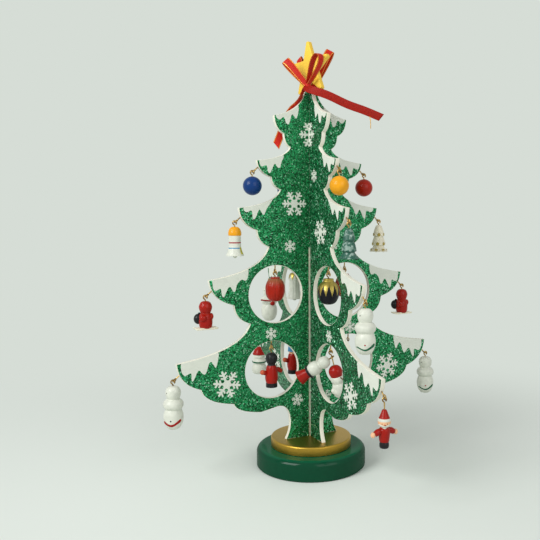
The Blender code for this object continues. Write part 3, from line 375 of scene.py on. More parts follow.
def satin_finish(name, code, shade, thread_mm):
    """Woven polyester satin: long floats along the ribbon give a smooth sheen, with fine cross ribs.

    The weave follows the ribbon's own map, u along its length and v across its width, both in millimetres.
    """
    finish, tree, shader = new_finish(name, roughness=0.4, anisotropic=0.5, sheen_weight=0.02,
                                      sheen_roughness=0.4, specular_ior_level=0.15)
    mapped = add_node(tree, "ShaderNodeUVMap", {"uv_map": "weave"}).outputs["UV"]
    ribs = add_node(tree, "ShaderNodeTexWave", {"bands_direction": "X"},
                    {"Scale": 1 / (3.1 * thread_mm), "Distortion": 0.6, "Detail": 2.0}, {"Vector": mapped})
    streaks = add_node(tree, "ShaderNodeTexNoise", None, {"Scale": 0.9, "Detail": 3.0}, {"Vector": mapped})
    blend = add_node(tree, "ShaderNodeMath", {"operation": "MULTIPLY_ADD"}, {1: 0.3},
                     {0: ribs.outputs["Fac"], 2: streaks.outputs["Fac"]})
    colour = add_node(tree, "ShaderNodeValToRGB", links={"Fac": blend.outputs[0]},
                      stops=((0.35, shade), (0.75, code)))
    tree.links.new(colour.outputs["Color"], shader.inputs["Base Color"])
    bump = add_node(tree, "ShaderNodeBump", None, {"Strength": 0.35, "Distance": 0.05 * MM},
                    {"Height": ribs.outputs["Fac"]})
    tree.links.new(bump.outputs["Normal"], shader.inputs["Normal"])
    return finish


class Shape:
    """Surfaces gathered as whole arrays, each face with the index of its finish. Lengths are millimetres."""

    def __init__(self):
        self.points, self.faces, self.finishes, self.maps, self.count = [], [], [], [], 0

    def grid(self, points, finish=0, uv=None, around=True):
        """Quads between neighbouring points of an (n, m, 3) array; around closes the m direction."""
        rows, columns = points.shape[:2]
        index = np.arange(rows * columns).reshape(rows, columns) + self.count
        right = np.roll(index, -1, axis=1)
        if not around:
            index, right = index[:, :-1], right[:, :-1]
        quads = np.stack((index[:-1], right[:-1], right[1:], index[1:]), axis=-1).reshape(-1, 4)
        if np.ndim(finish) == 0:
            finish = np.full(len(quads), finish)
        self.points.append(points.reshape(-1, 3))
        self.faces.append(quads)
        self.finishes.append(np.asarray(finish).reshape(-1))
        self.maps.append(np.zeros((rows * columns, 2)) if uv is None else uv.reshape(-1, 2))
        self.count += rows * columns
        return self

    def ball(self, centre, radii, finish=0, rings=14, sides=20):
        return self.grid(ellipsoid(centre, radii, rings, sides), finish)

    def bar(self, path, radius, finish=0, sides=14, side=(0, 1, 0)):
        return self.grid(tube(path, radius, side, sides), finish)

    def limb(self, start, end, radius, finish, hand, hand_finish):
        """An arm as a bar that swells in its middle, with a round hand at its end."""
        path = smooth_run((start, (np.array(start) + end) / 2 + (0, 0, 0.25), end), 6)
        swell = radius * (0.8 + 0.35 * np.sin(np.linspace(0.3, np.pi * 0.8, len(path))))[:, None]
        return self.bar(path, swell, finish, 16).ball(end, (hand, hand, hand), hand_finish, 12, 16)

    def moved(self, matrix, start=0):
        """Places the surfaces added since the start with a 4x4 matrix whose lengths are millimetres."""
        array = np.array(matrix)
        for index in range(start, len(self.points)):
            self.points[index] = self.points[index] @ array[:3, :3].T + array[:3, 3]
        return self


def weld(mesh, slivers=False, outward=True):
    """Merges doubled points, takes out faces without area where asked, and turns all faces outward."""
    work = bmesh.new()
    work.from_mesh(mesh)
    bmesh.ops.remove_doubles(work, verts=work.verts, dist=WELD)
    if slivers:
        bmesh.ops.dissolve_degenerate(work, edges=work.edges, dist=SLIVER)
    if outward:
        bmesh.ops.recalc_face_normals(work, faces=work.faces)
    work.to_mesh(mesh)
    work.free()


def make_piece(name, shape, finishes, place=None, body=TREE, nodes=(), sharp=35, solid=None,
               outward=True):
    """A finished mesh object on its body: welded, its faces outward, and standing for the given nodes."""
    points = np.concatenate(shape.points) * MM
    faces = np.concatenate(shape.faces)
    mesh = bpy.data.meshes.new(name)
    mesh.from_pydata(points.tolist(), [], faces.tolist())
    mesh.polygons.foreach_set("material_index", np.concatenate(shape.finishes).astype(np.int32))
    mapped = np.concatenate(shape.maps)
    if mapped.any():
        layer = mesh.uv_layers.new(name="weave")
        corners = np.empty(len(mesh.loops), np.int32)
        mesh.loops.foreach_get("vertex_index", corners)
        layer.data.foreach_set("uv", mapped[corners].astype(np.float32).ravel())
    weld(mesh, slivers=True, outward=outward)
    if place is not None:
        mesh.transform(place)
    return settle(name, mesh, finishes, body, nodes, sharp, solid)


def settle(name, mesh, finishes, body=TREE, nodes=(), sharp=35, solid=None):
    """Links a mesh as a piece with its finishes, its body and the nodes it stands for."""
    for finish in finishes:
        mesh.materials.append(finish)
    mesh.shade_smooth()
    mesh.set_sharp_from_angle(angle=math.radians(sharp))
    piece = bpy.data.objects.new(name, mesh)
    bpy.context.scene.collection.objects.link(piece)
    if solid:
        wall = piece.modifiers.new("thickness", "SOLIDIFY")
        wall.thickness = solid * MM
        wall.offset = 0
    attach(piece, body)
    if nodes:
        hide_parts(*nodes)
    return piece


def bend(start, control, end, steps):
    """Quadratic curve (1-t)^2 start + 2t(1-t) control + t^2 end, without its start."""
    t = np.linspace(0, 1, steps + 1)[1:, None]
    return (1 - t) ** 2 * np.asarray(start) + 2 * t * (1 - t) * np.asarray(control) + t ** 2 * np.asarray(end)


def between(start, end, shares):
    return start + (end - start) * shares


def smooth_run(points, steps):
    """Catmull-Rom curve through the points, with the given steps to each span."""
    points = np.asarray(points, float)
    padded = np.vstack((2 * points[0] - points[1], points, 2 * points[-1] - points[-2]))
    t = np.linspace(0, 1, steps, endpoint=False)[None, :, None]
    a, b, c, d = (padded[i:len(padded) - 3 + i][:, None, :] for i in range(4))
    run = 0.5 * (2 * b + (c - a) * t + (2 * a - 5 * b + 4 * c - d) * t ** 2
                 + (3 * b - 3 * c + d - a) * t ** 3)
    return np.vstack((run.reshape(-1, points.shape[1]), points[-1:]))


def sweep(tier, steps=28):
    """The concave upper edge of a tier, from the notch above it or the apex out to its tip."""
    start = np.array((APEX_HALF_WIDTH, PANEL_TOP)) if tier == 0 else NOTCHES[tier - 1]
    return np.vstack((start, bend(start, between(start, TIPS[tier], SWEEP_BEND), TIPS[tier], steps)))


def scallop(start, end, steps=12):
    return bend(start, between(start, end, SCALLOP_BEND), end, steps)


def first_cusp(tier):
    return SKIRT_CUSPS[0] if tier == 4 else between(TIPS[tier], NOTCHES[tier], CUSP_PLACE)


def wing_outline():
    """Reach and height along one wing's edge, from the apex down to the foot of the trunk."""
    runs = []
    for tier in range(5):
        cusp = first_cusp(tier)
        runs += [sweep(tier)[0 if tier == 0 else 1:], scallop(TIPS[tier], cusp)]
        if tier < 4:
            runs.append(scallop(cusp, NOTCHES[tier]))
    runs += [scallop(SKIRT_CUSPS[0], SKIRT_CUSPS[1]), scallop(SKIRT_CUSPS[1], SKIRT_CUSPS[2])]
    armpit, neck, foot = np.array(((26.5, PLATE_TOP + 25.2), (17.2, PLATE_TOP + 11.8),
                                   (20.7, PLATE_TOP + 0.02)))
    runs += [armpit[None], bend(armpit, (neck[0], armpit[1]), neck, 12)]
    runs.append(bend(neck, (neck[0], (neck[1] + foot[1]) / 2), foot, 12))
    return np.vstack(runs)


def flat_mesh(name, outlines, half_thickness, softness=0.0):
    """A flat piece from closed outlines in millimetres, filled between them, with its rim softened."""
    curve = bpy.data.curves.new(name, "CURVE")
    curve.dimensions = "2D"
    curve.fill_mode = "BOTH"
    curve.extrude = (half_thickness - softness) * MM
    curve.bevel_depth = softness * MM
    curve.bevel_resolution = 2
    curve.offset = -softness * MM
    for outline in outlines:
        spline = curve.splines.new("POLY")
        spline.points.add(len(outline) - 1)
        padded = np.column_stack((np.asarray(outline) * MM, np.zeros(len(outline)), np.ones(len(outline))))
        spline.points.foreach_set("co", padded.astype(np.float32).ravel())
        spline.use_cyclic_u = True
    holder = bpy.data.objects.new(name, curve)
    bpy.context.scene.collection.objects.link(holder)
    bpy.context.view_layer.update()
    mesh = bpy.data.meshes.new_from_object(holder.evaluated_get(bpy.context.evaluated_depsgraph_get()))
    bpy.data.objects.remove(holder, do_unlink=True)
    bpy.data.curves.remove(curve)
    weld(mesh)
    mesh.materials.clear()
    return mesh


def circle(centre, radius, steps):
    angle = np.linspace(0, 2 * np.pi, steps, endpoint=False)
    return np.column_stack((centre[0] + radius * np.cos(angle), centre[1] + radius * np.sin(angle)))


def mirrored(points):
    return points * (-1, 1)


def panel_matrix(panel):
    """Stands the drawing plane upright in the panel's plane, reach along +X for A and along +Y for B."""
    upright = Matrix.Rotation(math.pi / 2, 4, "X")
    return upright if panel == "a" else Matrix.Rotation(math.pi / 2, 4, "Z") @ upright


def panel_outlines(panel):
    """The panel's whole outline with its tenon and its half of the lap, and its four round holes."""
    outer = wing_outline()
    foot = PLATE_TOP - TENON_DEPTH
    tenon = np.array(((TENON_HALF_WIDTH, PLATE_TOP + 0.02), (TENON_HALF_WIDTH, foot)))
    if panel == "a":
        slot = PANEL_THICKNESS / 2 + LOOSE_GAP
        half = np.vstack((outer, tenon, ((slot, foot), (slot, LAP_HEIGHT))))
    else:
        slot = PANEL_THICKNESS / 2 + FIT_GAP
        half = np.vstack((((slot, LAP_HEIGHT - FIT_GAP), (slot, PANEL_TOP)), outer, tenon))
    whole = np.vstack((half, mirrored(half)[::-1]))
    return [whole] + [circle((side * x, z), HOLE_RADIUS, 96) for x, z in HOLES for side in (-1, 1)]


def snow_outline(tier):
    """One tier's snow: the upper edge of the tier above, the dripping lower edge below."""
    low = smooth_run(TIPS[tier] + np.array(SNOW_EDGES[tier]), 5)
    top = sweep(tier, 60) - (0, EDGE_SOFTNESS)
    ends = np.sort(low[[0, -1], 0])
    inside = top[(top[:, 0] > ends[0]) & (top[:, 0] < ends[1])]
    level = np.interp(low[:, 0], top[:, 0], top[:, 1])
    low[:, 1] = np.minimum(low[:, 1], level - 0.02)
    return np.vstack((low, inside))


def flake_outline(centre, radius, turn):
    """A snowflake as one closed run: a round hub and six arms, each with two pairs of slanting branches.

    An arm is written along +X in shares of the radius: its stem is 0.15 wide, and each branch leaves it at 62
    degrees as a bar of length 0.3. The six arms are the same points turned by 60 degrees.
    """
    stem, half, slant = 0.075, 0.058, math.radians(62)
    ahead = np.array((math.cos(slant), math.sin(slant)))
    across = np.array((-math.sin(slant), math.cos(slant)))
    side = [(0.26, 0.12), (0.31, stem)]
    for base, length in ((0.44, 0.29), (0.68, 0.31)):
        inner, outer = (np.array((base, 0.0)) + across * offset for offset in (half, -half))
        side.append(inner + ahead * (stem - inner[1]) / ahead[1])
        side += [inner + ahead * length, outer + ahead * length]
        side.append(outer + ahead * (stem - outer[1]) / ahead[1])
    side += [(0.97, stem), (1.0, 0.0)]
    upper = np.array(side, float)
    arm = np.vstack((upper * (1, -1), upper[::-1][1:]))
    angles = math.radians(turn) + np.arange(6) * np.pi / 3
    cos, sin = np.cos(angles)[:, None], np.sin(angles)[:, None]
    runs = np.stack((arm[:, 0] * cos - arm[:, 1] * sin, arm[:, 0] * sin + arm[:, 1] * cos), axis=-1)
    return runs.reshape(-1, 2) * radius + centre


def lathe(profile, steps=64, ribs=0, rib_depth=0.0):
    """Radius and height turned about Z: (r cos a, r sin a, h), r scaled by 1 - depth |cos(ribs a / 2)|^10."""
    angle = np.linspace(0, 2 * np.pi, steps, endpoint=False)
    groove = 1 - rib_depth * np.abs(np.cos(ribs * angle / 2)) ** 10 if ribs else np.ones(steps)
    radius, height = profile[:, 0][:, None], profile[:, 1][:, None]
    return np.stack((radius * groove * np.cos(angle), radius * groove * np.sin(angle),
                     height + 0 * angle), axis=-1)


def arc(centre, radius, start, end, steps):
    """Points of a circle's arc in the radius and height plane, angles in degrees from +X."""
    angle = np.radians(np.linspace(start, end, steps))
    return np.column_stack((centre[0] + radius * np.cos(angle), centre[1] + radius * np.sin(angle)))


def tube(path, radius, side, sides):
    """A round bar along a planar path: path + radius (cos a * across + sin a * side).

    across is side x tangent. radius is one value, or an array of values for each point and angle. Both ends
    close in a point.
    """
    path = np.asarray(path, float)
    tangent = np.gradient(path, axis=0)
    tangent /= np.linalg.norm(tangent, axis=1, keepdims=True)
    side = np.asarray(side, float) / np.linalg.norm(side)
    across = np.cross(side, tangent)
    across /= np.linalg.norm(across, axis=1, keepdims=True)
    angle = np.linspace(0, 2 * np.pi, sides, endpoint=False)
    spread = np.broadcast_to(radius, (len(path), sides))[..., None]
    ring = path[:, None] + spread * (np.cos(angle)[None, :, None] * across[:, None]
                                     + np.sin(angle)[None, :, None] * side)
    return np.concatenate((np.repeat(path[:1, None], sides, 1), ring, np.repeat(path[-1:, None], sides, 1)))


def ellipsoid(centre, radii, rings=14, sides=20):
    """centre + (a sin t cos p, b sin t sin p, c cos t) for t from 0 to pi and p once round."""
    t = np.linspace(0, np.pi, rings)[:, None]
    p = np.linspace(0, 2 * np.pi, sides, endpoint=False)[None]
    unit = np.stack((np.sin(t) * np.cos(p), np.sin(t) * np.sin(p), np.cos(t) + 0 * p), axis=-1)
    return unit * np.asarray(radii, float) + np.asarray(centre, float)


def screw_eye(neck):
    """A screw eye with its ring centre at the origin, its ring in the XZ plane and its shank along +Z.

    The wire runs once round the ring from an open end and bends into the shank, which ends in a cut thread:
    its radius there is wire (0.9 + 0.1 cos(2 pi z / pitch - a)).
    """
    turn = np.radians(np.linspace(128, 410, 40))
    ring = np.column_stack((EYE_RADIUS * np.cos(turn), 0 * turn, EYE_RADIUS * np.sin(turn)))
    bridge = smooth_run(((ring[-1][0], 0, ring[-1][2]), (0.28, 0, EYE_RADIUS + 0.16),
                         (0, 0, EYE_RADIUS + 0.75)), 6)
    shank = np.column_stack((np.zeros(50), np.zeros(50), EYE_RADIUS + np.linspace(0.85, neck, 50)))
    path = np.vstack((ring, bridge[1:], shank))
    sides = 12
    angle = np.linspace(0, 2 * np.pi, sides, endpoint=False)
    radius = np.full((len(path), sides), WIRE)
    height = path[:, 2][:, None]
    thread = WIRE * (0.9 + 0.1 * np.cos(2 * np.pi * height / 0.55 - angle))
    start = len(ring) + len(bridge) - 1 + 12
    radius[start:] = thread[start:]
    return Shape().bar(path, radius, 0, sides)


def in_wing(wing, flat):
    return np.array((WINGS[wing][0] * flat[0], WINGS[wing][1] * flat[0], flat[1]))


def eye_places():
    """Where each wing's screw eyes enter it: name, point and direction in reach and height."""
    places = []
    for tier in range(1, 5):
        cusp = first_cusp(tier)
        control, t = between(TIPS[tier], cusp, SCALLOP_BEND), EYE_PLACE
        entry = TIPS[tier] * (1 - t) ** 2 + control * (2 * t * (1 - t)) + cusp * t ** 2
        places.append((f"tier{tier + 1}", entry, np.array((math.sin(EYE_TILT), -math.cos(EYE_TILT)))))
    for name, centre in zip(("upper_hole", "lower_hole"), HOLES):
        places.append((name, centre + (0, HOLE_RADIUS), np.array((0.0, -1.0))))
    return places


def matrix_from(columns, origin):
    """A 4x4 matrix from three axes and an origin."""
    matrix = Matrix([[*row] for row in np.array(columns, float).T]).to_4x4()
    matrix.translation = Vector(origin)
    return matrix


def pivot(body):
    return Vector(JOINTS[body]["pos_m"])


class PanelSettings(PropertyGroup):
    """Sizes and colours of the glittered panels, their snow and the base."""

    flake_size: FloatProperty(name="Flake Size", description="Size of one glitter flake as drawn",
                              default=0.75 * MM, min=0.1 * MM, unit="LENGTH", precision=5)
    patch_size: FloatProperty(name="Patch Size", description="Size of the uneven patches in the glitter",
                              default=9 * MM, min=MM, unit="LENGTH", precision=5)
    flake_tilt: FloatProperty(name="Flake Tilt", description="How far the flakes lean from the sheet's face",
                              default=0.75, min=0, max=2, subtype="FACTOR")
    band_half_width: FloatProperty(name="Band", description="Half width of the bare band at the crossing",
                                   default=2.4 * MM, min=0, unit="LENGTH", precision=5)
    snow_thickness: FloatProperty(name="Snow Thickness", description="Thickness of the painted snow",
                                  default=0.14 * MM, min=0.01 * MM, unit="LENGTH", precision=5)
    glitter: StringProperty(name="Glitter", description="Main green of the glitter", default="#15703D")
    glitter_light: StringProperty(name="Glitter Light", description="Lighter flakes", default="#36A36A")
    glitter_shade: StringProperty(name="Glitter Shade", description="Deeper flakes", default="#0A4826")
    # Painted glints: the brightest flakes are set bright in the colour
    painted_glint_fleck: StringProperty(name="Bright Fleck", description="Flakes painted bright as glints", default="#B9F0D0")
    dark_fleck: StringProperty(name="Dark Fleck", description="Gaps between flakes", default="#022A12")
    snow: StringProperty(name="Snow", description="Painted snow and snowflakes", default="#D8DCD0")
    edge: StringProperty(name="Cut Edge", description="Painted edge of the sheet", default="#E6E4D4")
    lacquer: StringProperty(name="Lacquer", description="Green lacquer of the base disc", default="#044029")
    # Painted light: a lighter green on the disc's top, which faces the light from above
    lacquer_top_painted_light: StringProperty(name="Lacquer Top", description="Lacquer lighter on the top, as painted light from above",
                                default="#08583A")
    gold: StringProperty(name="Gold Paint", description="Metallic paint of the plate", default="#B4903A")


class TopSettings(PropertyGroup):
    """Sizes and colours of the star and the ribbon bow."""

    star_colour: StringProperty(name="Star", description="Yellow paint of the star", default="#F0C63C")
    ribbon_width: FloatProperty(name="Ribbon Width", description="Width of the satin ribbon",
                                default=5.6 * MM, min=MM, unit="LENGTH", precision=5)
    ribbon_thickness: FloatProperty(name="Ribbon Thickness", description="Thickness of the satin ribbon",
                                    default=0.22 * MM, min=0.05 * MM, unit="LENGTH", precision=5)
    ribbon: StringProperty(name="Ribbon", description="Lit satin", default="#C92A1A")
    ribbon_shade: StringProperty(name="Ribbon Shade", description="Satin in deeper streaks",
                                 default="#93130B")
    # Partly painted shade: the reverse's deeper red is the satin's dull back and also shade on the tail
    reverse: StringProperty(name="Reverse", description="Dull reverse of the satin", default="#9F1B0C")
    shaded_reverse_streaks: StringProperty(name="Reverse Shade", description="Reverse in deeper streaks",
                                  default="#740A04")
    thread: StringProperty(name="Edge Thread", description="Gold thread along both edges", default="#D9A441")


class OrnamentSettings(PropertyGroup):
    """Colours of the painted ornaments and the screw eyes."""

    turning_steps: IntProperty(name="Turning Steps", description="Facets round each turned ornament",
                               default=56, min=16, max=256)
    white: StringProperty(name="White", description="White enamel", default="#D3D6C9")
    red: StringProperty(name="Red", description="Red enamel", default="#9A1306")
    dark_red: StringProperty(name="Dark Red", description="Dark red enamel", default="#9C1A04")
    blue: StringProperty(name="Blue", description="Blue enamel", default="#04336E")
    navy: StringProperty(name="Navy", description="Navy enamel", default="#080712")
    yellow: StringProperty(name="Yellow", description="Yellow enamel", default="#E59D16")
    green: StringProperty(name="Green", description="Green enamel", default="#125A3C")
    black: StringProperty(name="Black", description="Black enamel", default="#1B1A1C")
    cream: StringProperty(name="Cream", description="Cream paint of the skis", default="#E5DFC8")
    skin: StringProperty(name="Skin", description="Paint of the faces and hands", default="#EDB98F")
    gold: StringProperty(name="Gold", description="Gold paint of caps and points", default="#A99548")
    teal: StringProperty(name="Teal", description="Teal enamel of the fir", default="#1A5242")
    sky: StringProperty(name="Light Blue", description="Light blue enamel of a cap", default="#3C82AA")
    dull_red: StringProperty(name="Dull Red", description="Thin red ring of the bells", default="#A1474B")
    olive: StringProperty(name="Olive", description="Olive yellow patch of the bells", default="#B9AE3C")
    # Painted highlight on a guard's hand; the red suit figure's nose has it as its own colour
    brick: StringProperty(name="Brick", description="Orange red enamel of a nose, and painted highlight of a hand", default="#C4583A")
    brown: StringProperty(name="Brown", description="Brown paint of a broom stick", default="#6A5838")
    grey: StringProperty(name="Grey", description="Painted shade of a small hollow", default="#8C8A76")
    brass: StringProperty(name="Brass", description="Bright wire of the screw eyes", default="#C9A765")
    bronze: StringProperty(name="Tarnish", description="Browned wire of the screw eyes", default="#6E5230")


class StageSettings(PropertyGroup):
    """The pale stage, its light and the camera."""

    floor: StringProperty(name="Floor", description="Floor and background", default="#D6DDD6")
    world_level: FloatProperty(name="World Level", description="Strength of the even light", default=0.45,
                               min=0)
    key_power: FloatProperty(name="Key Light", description="Power of the large soft lamp", default=12.5,
                             min=0, unit="POWER")
    fill_power: FloatProperty(name="Fill Light", description="Power of the low soft lamp", default=4.4, min=0,
                              unit="POWER")
    lens: FloatProperty(name="Lens", description="Focal length for a 36 mm frame", default=46.42, min=10,
                        unit="CAMERA")


def finish_once(name, maker, *values, **named):
    """The finish of that name, made at its first use."""
    return bpy.data.materials.get(name) or maker(name, *values, **named)


def enamel(colour):
    """Gloss enamel in one of the ornaments' colours."""
    code = getattr(bpy.context.scene.tree_ornaments, colour)
    return finish_once(f"gloss_enamel_{colour}_on_birch", gloss_paint, code)


def brass():
    settings = bpy.context.scene.tree_ornaments
    return finish_once("drawn_brass_wire", metal_wire, settings.brass, settings.bronze)


def gold_leafed():
    settings = bpy.context.scene.tree_ornaments
    return finish_once("gold_bronze_paint", fleck_paint, settings.gold, "#F1DC9A", 0.35, 0.35, 0.8, 0.34)


class TREE_OT_make_panels(Operator):
    """Make both glittered panels with cream cut edges"""

    bl_idname = "tree.make_panels"
    bl_label = "Make Panels"

    def execute(self, context):
        settings = context.scene.tree_panels
        edge = matt_paint("cream_painted_cut_edge", settings.edge, grain=0.5, roughness=0.7, relief=0.08)
        for panel in "ab":
            mesh = flat_mesh(f"glittered_panel_{panel}", panel_outlines(panel), PANEL_THICKNESS / 2,
                             EDGE_SOFTNESS)
            normals = np.empty(len(mesh.polygons) * 3, np.float32)
            mesh.polygons.foreach_get("normal", normals)
            rim = np.abs(normals.reshape(-1, 3)[:, 2]) < 0.999
            mesh.polygons.foreach_set("material_index", rim.astype(np.int32))
            mesh.transform(panel_matrix(panel))
            glitter = glitter_finish(settings, f"green_glitter_on_plywood_{panel}", panel == "b",
                                     GLITTER_PAINTED_LIGHT[panel])
            settle(f"glittered_panel_{panel}", mesh, [glitter, edge], nodes=[f"panel_{panel}"],
                   sharp=25)
        return {"FINISHED"}


class TREE_OT_paint_snow(Operator):
    """Paint the snow caps and snowflakes on both faces of the panels"""

    bl_idname = "tree.paint_snow"
    bl_label = "Paint Snow"

    def execute(self, context):
        settings = context.scene.tree_panels
        paint = matt_paint("thick_white_snow_paint", settings.snow, grain=0.9, relief=0.1, variation=0.07)
        half = settings.snow_thickness / MM / 2
        for panel in "ab":
            outlines = [snow_outline(tier) for tier in range(5)]
            flakes = [(flake_outline((x, z), radius, turn), both)
                      for x, z, radius, turn, both in FLAKES[panel]]
            outlines += [mirrored(run) for run in outlines]
            outlines += [run for run, _ in flakes] + [mirrored(run) for run, both in flakes if both]
            for side, label in ((-1, "front"), (1, "back")):
                mesh = flat_mesh(f"snow_{panel}_{label}", outlines, half)
                mesh.transform(Matrix.Translation((0, 0, side * (PANEL_THICKNESS / 2 + half - 0.02) * MM)))
                mesh.transform(panel_matrix(panel))
                settle(f"snow_{panel}_{label}", mesh, [paint], sharp=30)
        return {"FINISHED"}


class TREE_OT_turn_base(Operator):
    """Turn the lacquered disc and the gold plate"""

    bl_idname = "tree.turn_base"
    bl_label = "Turn Base"

    def execute(self, context):
        settings = context.scene.tree_panels
        # Painted light: the lacquer passes to a lighter green over the upper lip and the top, where light
        # from above falls
        lip = (settings.lacquer_top_painted_light, 13.3 * MM, 14.45 * MM)
        lacquer = gloss_paint("dark_green_gloss_lacquer_on_wood", settings.lacquer, roughness=0.3, coat=0.32,
                              variation=0.06, specular=0.0, upper=lip)
        gold = fleck_paint("gold_metallic_paint_on_wood", settings.gold, "#CDAE5C", 0.6, 0.3, 1.0, 0.38)
        inner = DISC_RADIUS - DISC_ROUNDING
        disc = np.vstack(((0, DISC_HEIGHT), (inner * 0.5, DISC_HEIGHT), (inner - 0.5, DISC_HEIGHT),
                          arc((inner, DISC_HEIGHT - DISC_ROUNDING), DISC_ROUNDING, 90, 0, 18),
                          (DISC_RADIUS, 7.0), (DISC_RADIUS, FOOT_CHAMFER),
                          (DISC_RADIUS - FOOT_CHAMFER, 0), (inner * 0.5, 0), (0, 0)))
        make_piece("lacquered_disc", Shape().grid(lathe(disc, 160)), [lacquer], nodes=["base_disc"],
                   sharp=40)
        inner = PLATE_RADIUS - PLATE_ROUNDING
        plate = np.vstack(((0, PLATE_TOP), (inner * 0.5, PLATE_TOP), (inner - 0.3, PLATE_TOP),
                           arc((inner, PLATE_TOP - PLATE_ROUNDING), PLATE_ROUNDING, 90, 0, 10),
                           (PLATE_RADIUS, 17.5), (PLATE_RADIUS - 0.15, PLATE_FOOT),
                           (inner * 0.5, PLATE_FOOT), (0, PLATE_FOOT)))
        make_piece("gold_plate_top", Shape().grid(lathe(plate, 144)), [gold], nodes=["gold_plate"],
                   sharp=40)
        return {"FINISHED"}


class TREE_OT_fit_screw_eyes(Operator):
    """Fit a brass screw eye at every hanging place"""

    bl_idname = "tree.fit_screw_eyes"
    bl_label = "Fit Screw Eyes"

    def execute(self, context):
        for wing in WINGS:
            for place, entry, direction in eye_places():
                upward = -in_wing(wing, direction)
                across = np.cross(upward, (1, 0, 0)) if upward[1] else np.array((0.0, 1.0, 0.0))
                centre = in_wing(wing, entry + direction * EYE_CENTRE) * MM
                frame_axes = matrix_from((across, np.cross(upward, across), upward), centre)
                shape = screw_eye(WIRE + EYE_NECK + SHANK_DEPTH - 0.2)
                make_piece(f"screw_eye_{wing}_{place}", shape, [brass()], frame_axes,
                           nodes=[f"eye_{wing}_{place}"], sharp=50)
        return {"FINISHED"}


def toward(offset, side, height):
    """A point from its distance off the star's face, its place along the star and its height."""
    face = np.array((-math.cos(STAR_TURN), -math.sin(STAR_TURN), 0))
    along = np.array((math.sin(STAR_TURN), -math.cos(STAR_TURN), 0))
    return face * offset + along * side + np.array((0, 0, height))


def ribbon_strip(shape, centres, sides, half_width, slant=0.0, reverse=False):
    """A satin strip: centre + side v for v from -1 to 1, cupped a little, with a gold thread near both edges.

    Columns of faces between |v| 0.8 and 0.92 take the thread's finish, the others the satin's. A strip that
    shows its reverse has that finish alone: the dull reverse, its deeper red partly painted shade. The end
    is cut aslant by shifting each point ahead by slant v t^10, t its share of the length.
    """
    v = np.array((-1.0, -0.92, -0.8, -0.5, -0.2, 0.2, 0.5, 0.8, 0.92, 1.0))
    ahead = np.gradient(centres, axis=0)
    length = np.concatenate(((0.0,), np.cumsum(np.linalg.norm(np.diff(centres, axis=0), axis=1))))
    out = np.cross(ahead, sides)
    out /= np.maximum(np.linalg.norm(out, axis=1, keepdims=True), 1e-9)
    cup = 0.12 * (v ** 2 - 0.4)
    points = centres[:, None] + sides[:, None] * v[None, :, None] + out[:, None] * cup[None, :, None]
    forward = ahead / np.maximum(np.linalg.norm(ahead, axis=1, keepdims=True), 1e-9)
    points = points + forward[:, None] * (slant * v[None] * (length / length[-1])[:, None] ** 10)[..., None]
    uv = np.stack(np.broadcast_arrays(length[:, None], v[None] * half_width), axis=-1)
    columns = np.full(9, 2) if reverse else np.array((0, 1, 0, 0, 0, 0, 0, 1, 0))
    shape.grid(points, np.broadcast_to(columns, (len(centres) - 1, len(columns))), uv, around=False)


def loop_strip(shape, knot, fold, face, bulge, half_width, skew=0.0, pinch=0.5, spread=0.5):
    """A loop out to its fold and back: knot + axis r + out (spread cos pi t + bulge s) + side skew s.

    r is (1 - cos 2 pi t) / 2 and s is r sin 2 pi t, so the strands part between knot and fold.
    """
    axis = fold - knot
    out = face - axis * np.dot(face, axis) / np.dot(axis, axis)
    out /= np.linalg.norm(out)
    side = np.cross(axis, out)
    side *= half_width / np.linalg.norm(side)
    t = np.linspace(0, 1, 49)[:, None]
    reach = (1 - np.cos(2 * np.pi * t)) / 2
    part = np.sin(2 * np.pi * t) * reach
    centres = (knot + axis * reach + out * (spread * np.cos(np.pi * t) + bulge * part)
               + side * (skew / half_width) * part)
    width = pinch + (1 - pinch) * np.sin(np.pi * t) ** 0.7
    ribbon_strip(shape, centres, side * width, half_width)


def tail_strip(shape, route, face, half_width, taper=0.55, slant=0.0, reverse=False):
    """A tail along its route, pinched where it leaves the knot.

    Its width is times taper + (1 - taper) min(5t, 1), t the share of the route. Its broad side looks along
    face, one direction or one for each point.
    """
    ahead = np.gradient(route, axis=0)
    sides = np.cross(ahead, face)
    sides /= np.linalg.norm(sides, axis=1, keepdims=True)
    t = np.linspace(0, 1, len(route))[:, None]
    width = taper + (1 - taper) * np.minimum(t * 5, 1)
    ribbon_strip(shape, route, sides * width * half_width, half_width, slant, reverse)


def wrapped_knot(shape, centre, axis, radius):
    """A tight knot in three soft folds round its axis.

    It is an ellipsoid times 1 - 0.07 |sin(3t + 0.8 sin p)|^0.5, with t and p the ellipsoid's.
    """
    ball = ellipsoid((0, 0, 0), (radius, radius * 0.92, radius), 22, 40)
    t = np.linspace(0, np.pi, 22)[:, None]
    p = np.linspace(0, 2 * np.pi, 40, endpoint=False)[None]
    fold = 1 - 0.07 * np.abs(np.sin(3 * t + 0.8 * np.sin(p))) ** 0.5
    start = len(shape.points)
    uv = np.stack(np.broadcast_arrays(t * radius, p * radius), axis=-1)
    shape.grid(ball * fold[..., None], 0, uv)
    turn = Vector(axis).to_track_quat("X", "Z").to_matrix().to_4x4()
    shape.moved(Matrix.Translation(centre) @ turn, start)


